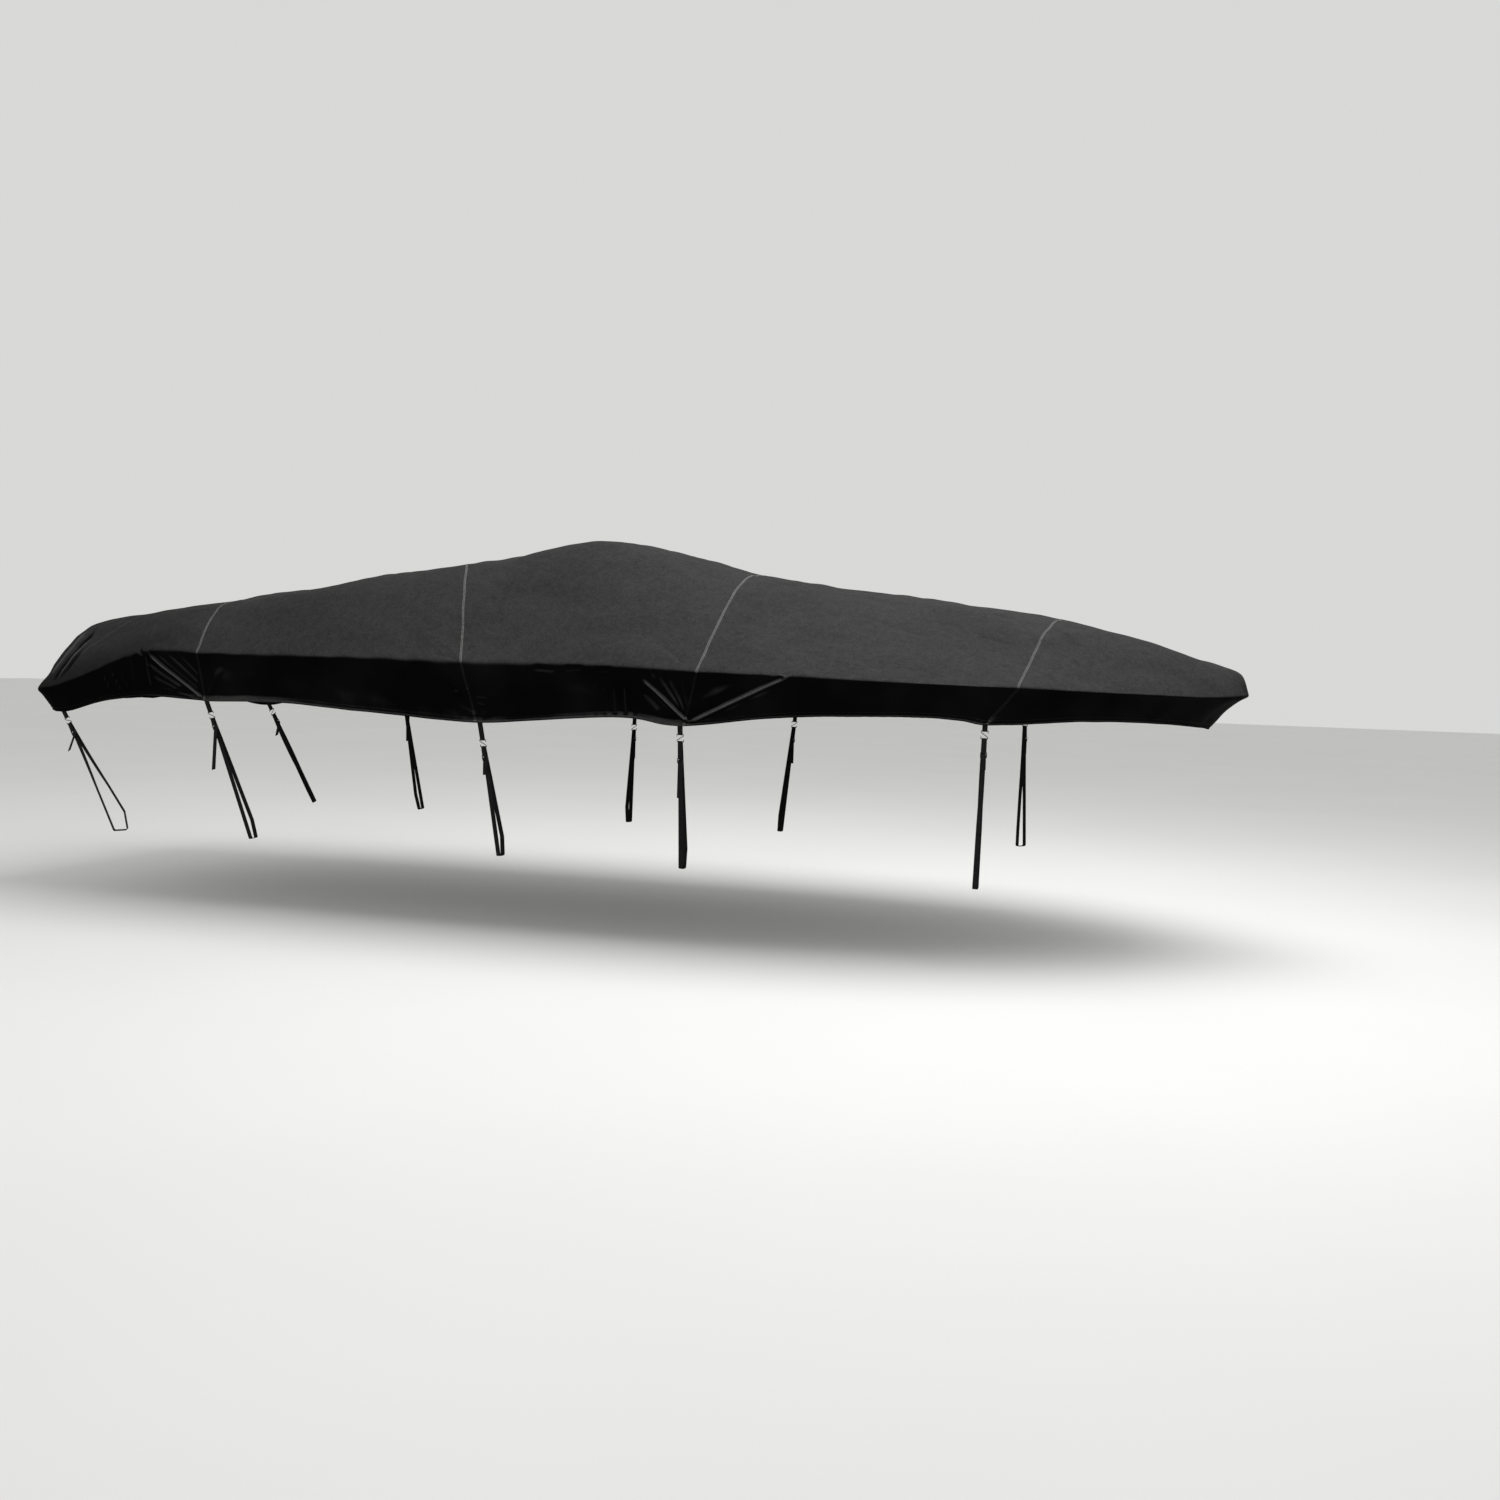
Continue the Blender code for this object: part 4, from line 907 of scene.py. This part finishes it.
def add_band(name, axes, hook_low, middle, tail, foot_width, material):
    """The band, from its sewn end round the buckle's upper bar to the end of its tail."""
    upper = middle + BAR_SPACING
    lower = middle - BAR_SPACING - BUCKLE_CLEAR
    inner = BUCKLE_OUT - LOOP
    outer = BUCKLE_OUT + LOOP
    reach = np.array((tail @ axes.out_top, tail @ axes.up, tail @ axes.wide_top))
    corners = (
        (inner, upper + SEWN_END, 0.0),
        (inner, upper - LOOP, 0.0),
        (outer, upper - LOOP, 0.0),
        (LOOP, hook_low + LOOP, 0.0),
        (-LOOP, hook_low + LOOP, 0.0),
        axes.foot_place(-foot_width / 2, FOOT_DEPTH),
        axes.foot_place(-foot_width / 2, 0.0),
        axes.foot_place(foot_width / 2, 0.0),
        (inner, lower, 0.0),
        (inner, middle + LOOP, 0.0),
        (outer, middle + LOOP, 0.0),
        (outer, lower, 0.0),
        reach + (outer, lower, 0.0),
    )
    loop, foot = LOOP_CORNER, FOOT_CORNER
    path = rounded(corners, (loop, loop, loop, loop, 0.0, foot, foot, 0.0, loop, loop, 0.0), ARC_STEPS)
    return add_webbing(name, path, axes, material)


def add_buckle(name, axes, middle, material):
    """The ladder: a moulded plate with two windows, its edges rounded."""
    inner = WEB_WIDTH / 2 + PIECE_GAP
    wide_lines = (-inner - RAIL_WIDTH, -inner, inner, inner + RAIL_WIDTH)
    up_lines = [middle + step * BAR_SPACING + edge * BAR / 2 for step in (-1, 0, 1) for edge in (-1, 1)]
    windows = {(1, 1), (1, 3)}
    points = [axes.top + (BUCKLE_OUT + face * BAR / 2) * axes.out_top + a * axes.wide_top + b * axes.up
              for face in (-1, 1) for a in wide_lines for b in up_lines]
    rows = len(up_lines)
    layer = len(wide_lines) * rows
    cells = [(i, j) for i in range(len(wide_lines) - 1) for j in range(rows - 1) if (i, j) not in windows]
    back = np.array([(i * rows + j, (i + 1) * rows + j, (i + 1) * rows + j + 1, i * rows + j + 1)
                     for i, j in cells])
    faces = np.concatenate([back, back[:, ::-1] + layer, rim_quads(back, layer)])
    obj = add_mesh(name, np.array(points), faces.tolist(), material)
    bevel = obj.modifiers.new("edges", "BEVEL")
    bevel.width = BUCKLE_ROUND
    bevel.segments = 3
    return obj


def hand_over(piece, node_name=None):
    """Puts a finished piece on the root body and hides the CAD node that it stands for."""
    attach(piece, "root")
    if node_name:
        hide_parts(node_name)


def hem_place(x, side):
    """The hem's outer point on the rib whose edge is at x, and the cloth's outward direction there."""
    point = bare_place(x, 1.0, side)
    along = bare_place(x + HEM_REACH, 1.0, side) - bare_place(x - HEM_REACH, 1.0, side)
    normal = side * np.cross(along, point - bare_place(x, 0.9, side))
    return point, unit(normal)


def add_strap(strap, materials):
    """A tab, a hook, a band and a buckle at one place on the hem, in the places of their CAD nodes."""
    name = strap["name"]
    hem, normal = hem_place(strap["rib_x"], strap["side"])
    top = hem - (strap["seat"] + WEB / 2 + LOOP) * normal
    mirror = np.array((1.0, strap["side"], 1.0))
    foot = mirror * (strap["foot_x"], strap["foot_y"], FOOT_HEIGHT - ORIGIN_HEIGHT)
    angle = math.radians(strap["foot_angle"])
    axes = StrapAxes(top, foot, normal, mirror * (-math.sin(angle), math.cos(angle), 0.0))
    low = WEB / 2 - strap["tab"]
    hook = low + LOOP - HOOK_HALF_HEIGHT
    hook_low = hook - HOOK_HALF_HEIGHT
    middle = hook_low - strap["buckle"]
    tail = strap["tail"] * np.array((-strap["swing"], 0.0, -1.0))
    bend = max(0.0, (normal @ axes.up) / (normal @ axes.out_top))
    webbing = materials["strap_webbing"]
    pieces = (
        ("tab", add_tab(f"{name}_sewn_tab", axes, low, bend, webbing), "strap_webbing"),
        ("hook", add_hook(f"{name}_s_hook", axes, hook, strap["hook_face"], materials["hook_steel"]),
         "hook_steel"),
        ("band", add_band(f"{name}_webbing", axes, hook_low, middle, tail, strap["foot_width"], webbing),
         "strap_webbing"),
        ("buckle", add_buckle(f"{name}_ladder_buckle", axes, middle, materials["buckle_plastic"]),
         "buckle_plastic"),
    )
    for node_name, piece, slot in pieces:
        hand_over(piece, f"{name}_{node_name}")


# Materials --------------------------------------------------------------------------------------

def linear(colour):
    """An sRGB colour written as hex, turned to linear light: ((c + 0.055) / 1.055) ** 2.4 above 0.04."""
    values = [int(colour[k:k + 2], 16) / 255 for k in (1, 3, 5)]
    return (*(c / 12.92 if c <= 0.04045 else ((c + 0.055) / 1.055) ** 2.4 for c in values), 1.0)


def node(tree, kind, inputs=None, **settings):
    """Adds one node: its settings, and for each named or numbered input a value or the output it reads."""
    made = tree.nodes.new(kind)
    for name, value in settings.items():
        setattr(made, name, value)
    for name, value in (inputs or {}).items():
        if isinstance(value, bpy.types.NodeSocket):
            tree.links.new(value, made.inputs[name])
        else:
            made.inputs[name].default_value = value
    return made


def new_material(name, roughness, specular=0.5, metallic=0.0):
    """A material with its tree and its shader, the shader linked to the output."""
    material = bpy.data.materials.new(name)
    material.use_nodes = True
    tree = material.node_tree
    tree.nodes.clear()
    shader = node(tree, "ShaderNodeBsdfPrincipled", {"Roughness": roughness, "Specular IOR Level": specular,
                                                     "Metallic": metallic})
    node(tree, "ShaderNodeOutputMaterial", {"Surface": shader.outputs["BSDF"]})
    return material, tree, shader


def maths(tree, operation, *values):
    """One sum on numbers or on other nodes' outputs."""
    return node(tree, "ShaderNodeMath", dict(enumerate(values)), operation=operation).outputs[0]


def mapped(tree, value, low, high, to_low=0.0, to_high=1.0, kind="LINEAR"):
    """A value carried from low to high over to the range from to_low to to_high."""
    ends = {"Value": value, "From Min": low, "From Max": high, "To Min": to_low, "To Max": to_high}
    return node(tree, "ShaderNodeMapRange", ends, interpolation_type=kind).outputs["Result"]


def noise(tree, scale, detail):
    """Noise on the piece's own coordinates, scale to the metre."""
    place = node(tree, "ShaderNodeTexCoord").outputs["Object"]
    inputs = {"Vector": place, "Scale": scale, "Detail": detail}
    return node(tree, "ShaderNodeTexNoise", inputs).outputs["Fac"]


def stripes(tree, spacing, axis, distortion=0.0):
    """Waves along the piece's UV map, from a spacing in millimetres."""
    inputs = {"Vector": uv_place(tree), "Scale": 1000 / spacing / 6.2832 * 2.0, "Distortion": distortion}
    return node(tree, "ShaderNodeTexWave", inputs, bands_direction=axis).outputs["Fac"]


def uv_place(tree):
    """The place on the piece's UV map, which is in metres along and across the cloth."""
    return node(tree, "ShaderNodeUVMap", uv_map="cloth").outputs["UV"]


def part_of(tree, vector, axis):
    """One part of a vector."""
    return node(tree, "ShaderNodeSeparateXYZ", {0: vector}).outputs[axis]


def own_value(tree, name):
    """A number that each point of the piece carries."""
    return node(tree, "ShaderNodeAttribute", attribute_name=name).outputs["Fac"]


def colour(tree, shader, share, fresh, pale_end, clamp=True):
    """Colours the shader by a share of the way from the fresh to the pale colour, past it where clamp is off.
    """
    mix = node(tree, "ShaderNodeMix", {0: share, 6: linear(fresh), 7: linear(pale_end)}, data_type="RGBA",
               clamp_factor=clamp)
    tree.links.new(mix.outputs[2], shader.inputs["Base Color"])


def add_bumps(tree, shader, *layers):
    """Gives the shader bumps one on another, each a height, a strength and a distance in metres."""
    below = {}
    for height, strength, distance in layers:
        inputs = {"Height": height, "Strength": strength, "Distance": distance, **below}
        below = {"Normal": node(tree, "ShaderNodeBump", inputs).outputs["Normal"]}
    tree.links.new(below["Normal"], shader.inputs["Normal"])


def facing_up(tree):
    """The height part of the surface's own normal."""
    return part_of(tree, node(tree, "ShaderNodeNewGeometry").outputs["Normal"], "Z")


def cloth_up(tree):
    """The height part of the normal of the cloth under a seam or a stitch."""
    return own_value(tree, "sky")


def dust_and_top_light(tree, up):
    """How far dust and painted light from above pale a place: hardly on faces that hang, fully on faces to
    the sky.

    The dust lies uneven: clouds 0.4 m across, blotches of 35 mm and a grain of 11 mm. On hanging faces only
    the clouds show, up to HANGING_DUST. Gives the share and the unevenness.
    """
    # painted top light and dust: faces to the sky are painted paler than faces that hang
    facing = mapped(tree, up, -0.06, 0.46, kind="SMOOTHSTEP")
    clouds, blotches, grain = noise(tree, 2.5, 2.0), noise(tree, 28.0, 3.0), noise(tree, 90.0, 2.0)
    mottle = maths(tree, "ADD", maths(tree, "MULTIPLY", clouds, 0.35), blotches)
    mottle = maths(tree, "MULTIPLY_ADD", grain, 1.6, mottle)
    amount = mapped(tree, mottle, 1.1, 1.85, 0.74, 1.16)
    rubbed = mapped(tree, clouds, 0.42, 0.70, to_high=HANGING_DUST)
    return maths(tree, "MULTIPLY_ADD", facing, amount, rubbed), mottle


def stern_painted_shade(tree):
    """The dust share with painted shade on the stern: less on the low stern, and least close above its
    crease.

    One less 0.15 of how far astern the place lies, less STERN_PAINTED_SHADE of that where the edge crease is
    near.
    """
    place = node(tree, "ShaderNodeTexCoord").outputs["Object"]
    # painted shade: the low stern, and most of all the cloth close above its crease, painted darker
    astern = mapped(tree, part_of(tree, place, "X"), -1.7, -2.7, kind="SMOOTHSTEP")
    near = mapped(tree, part_of(tree, uv_place(tree), "Y"), -0.30, 0.02, kind="SMOOTHSTEP")
    darkened = maths(tree, "MULTIPLY_ADD", near, STERN_PAINTED_SHADE, 0.15)
    return maths(tree, "SUBTRACT", 1.0, maths(tree, "MULTIPLY", darkened, astern))


def cover_cloth(name, fresh, pale_end, up):
    """Solution-dyed 600 denier polyester, plain weave, coated inside.

    Near black where it hangs, and grey where it faces the sky: dust, and painted light from above. The eye
    sees a dull, slightly uneven face with a fine grain and no clear gloss. A fold's crest, in hundredths of a
    metre, gets a painted highlight, and its trough painted shade.
    """
    material, tree, shader = new_material(name, 0.85, 0.025)
    # the grey of faces to the sky is dust and painted top light
    share, mottle = dust_and_top_light(tree, up(tree))
    fold = own_value(tree, "fold")
    # painted highlight on each fold's crest and painted shade in its trough, by the fold's height
    crest = mapped(tree, fold, 0.35, 1.15, to_high=CREST_PAINTED_HIGHLIGHT)
    trough = mapped(tree, fold, -1.2, -0.15, TROUGH_PAINTED_SHADE, 1.0)
    share = maths(tree, "MULTIPLY", share, trough)
    share = maths(tree, "MULTIPLY_ADD", share, stern_painted_shade(tree), crest)
    colour(tree, shader, share, fresh, pale_end, clamp=False)
    # the weave: threads 0.45 mm apart in the real cloth, drawn 3 mm apart so that they show close by
    threads = maths(tree, "MAXIMUM", *(stripes(tree, 3.0, axis, 0.4) for axis in ("X", "Y")))
    add_bumps(tree, shader, (threads, 0.25, 0.0006), (mottle, 0.3, 0.002))
    return material


def webbing(name):
    """Black polypropylene webbing, woven in a plain rib: a soft sheen, ribs across it, and dust on it."""
    material, tree, shader = new_material(name, 0.7, 0.15)
    colour(tree, shader, mapped(tree, noise(tree, 40.0, 4.0), 0.35, 0.7), "#060607", "#121213")
    # ribs 1.3 mm apart in the real webbing, drawn 2.5 mm apart, and two lines 5 mm in from the selvedges
    height = maths(tree, "ADD", stripes(tree, 2.5, "Y"), stripes(tree, 5.0, "X"))
    add_bumps(tree, shader, (height, 0.5, 0.0005))
    return material


def zinc_steel(name):
    """Bright zinc-plated steel wire: a clear but slightly cloudy metal."""
    material, tree, shader = new_material(name, 0.5, metallic=1.0)
    cloud = noise(tree, 180.0, 3.0)
    colour(tree, shader, cloud, "#444443", "#747472")
    tree.links.new(mapped(tree, cloud, 0.0, 1.0, 0.22, 0.42), shader.inputs["Roughness"])
    return material


def moulded_acetal(name):
    """Black acetal, moulded: an even, slightly glossy face with a fine spark-eroded grain."""
    material, tree, shader = new_material(name, 0.42)
    grain = noise(tree, 900.0, 2.0)
    colour(tree, shader, grain, "#101011", "#18181a")
    add_bumps(tree, shader, (grain, 0.2, 0.0002))
    return material


def bonded_thread(name, fresh, pale_end):
    """Bonded polyester thread: a dull sheen, paler where it faces the sky, for dust and painted light from
    above.
    """
    material, tree, shader = new_material(name, 0.6, 0.2)
    # painted top light and dust: the thread is painted paler where the cloth under it faces the sky
    colour(tree, shader, dust_and_top_light(tree, cloth_up(tree))[0], fresh, pale_end, clamp=False)
    return material


def painted_floor(name):
    """Pale matt floor."""
    material, tree, shader = new_material(name, 0.9)
    colour(tree, shader, noise(tree, 0.6, 2.0), "#dcdcda", "#e2e2e0")
    return material


# Stage ------------------------------------------------------------------------------------------

def add_placed(name, data, axes, place):
    """An object at a place with its own x, y and z along three axes."""
    matrix = np.eye(4)
    matrix[:3] = np.stack([*axes, place], axis=1)
    obj = bpy.data.objects.new(name, data)
    obj.matrix_world = Matrix(matrix.tolist())
    bpy.context.scene.collection.objects.link(obj)
    return obj


def add_camera():
    """The camera at the photograph's place, turned by yaw, pitch and roll."""
    ahead = np.array((-math.sin(CAMERA_YAW) * math.cos(CAMERA_PITCH),
                      math.cos(CAMERA_YAW) * math.cos(CAMERA_PITCH), -math.sin(CAMERA_PITCH)))
    right = np.array((math.cos(CAMERA_YAW), math.sin(CAMERA_YAW), 0.0))
    up = np.cross(right, ahead)
    c, s = math.cos(CAMERA_ROLL), math.sin(CAMERA_ROLL)
    data = bpy.data.cameras.new("camera")
    data.lens = CAMERA_LENS
    data.sensor_width = SENSOR
    data.clip_end = 5 * FLOOR_HALF
    axes = (c * right + s * up, c * up - s * right, -ahead)
    bpy.context.scene.camera = add_placed("camera", data, axes, CAMERA_PLACE)


def add_lights():
    """Large soft lights, each aimed at a point, and a pale even surround."""
    for light in rows_of(LIGHT_ROWS, LIGHT_COLUMNS):
        data = bpy.data.lights.new(light["name"], "AREA")
        data.shape = "RECTANGLE"
        data.size = light["width"]
        data.size_y = light["height"]
        data.energy = light["watts"]
        back = unit(np.array(light["place"]) - light["aim"])
        side = unit(np.cross((0.0, 1.0, 0.0) if abs(back[2]) > 0.9 else (0.0, 0.0, 1.0), back))
        add_placed(light["name"], data, (side, np.cross(back, side), back), light["place"])
    world = bpy.data.worlds.new("surround")
    world.use_nodes = True
    surround = world.node_tree.nodes["Background"].inputs
    surround["Color"].default_value = linear(SURROUND)
    surround["Strength"].default_value = SURROUND_STRENGTH
    bpy.context.scene.world = world


def add_floor(material):
    """A flat floor under the object."""
    corners = [(x * FLOOR_HALF, y * FLOOR_HALF, FLOOR_Z) for x, y in ((-1, -1), (1, -1), (1, 1), (-1, 1))]
    add_mesh("floor", corners, [(0, 1, 2, 3)], material)


def build():
    """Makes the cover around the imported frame."""
    materials = {
        # the paler colours of cloth, seams and threads on faces to the sky are dust and painted top light
        "cover": cover_cloth("coated_polyester_600_denier", "#030303", "#323232", facing_up),
        "seam": cover_cloth("coated_polyester_seam", "#060606", "#4a4a4a", cloth_up),
        "pale_thread": bonded_thread("bonded_polyester_thread_grey", "#0b0b0b", "#8c8c8a"),
        "worn_thread": bonded_thread("bonded_polyester_thread_worn", "#090909", "#6a6a69"),
        "black_thread": bonded_thread("bonded_polyester_thread_black", "#070708", "#242425"),
        "strap_webbing": webbing("polypropylene_webbing"),
        "hook_steel": zinc_steel("zinc_plated_steel"),
        "buckle_plastic": moulded_acetal("moulded_acetal"),
    }
    start_x = STERN_X
    for number, panel in enumerate(rows_of(PANEL_ROWS, PANEL_COLUMNS)):
        name = panel["name"]
        cloth = add_panel(f"cover_{name}", SEAMS[number], SEAMS[number + 1], materials["cover"])
        hand_over(cloth, f"panel_{name}")
        extra = [add_hem_stitches(f"hem_stitches_{name}", start_x, panel["to_x"], materials["black_thread"])]
        if number + 1 < len(PANEL_ROWS):
            extra += add_seam(f"{name}_front", panel["to_x"], materials["seam"], materials[panel["thread"]])
        for piece in extra:
            hand_over(piece)
        start_x = panel["to_x"]
    for strap in rows_of(STRAP_ROWS, STRAP_COLUMNS):
        add_strap(strap, materials)
    add_floor(painted_floor("pale_matt_paint"))
    add_lights()
    add_camera()
    bpy.context.scene.view_settings.view_transform = "Standard"


build()
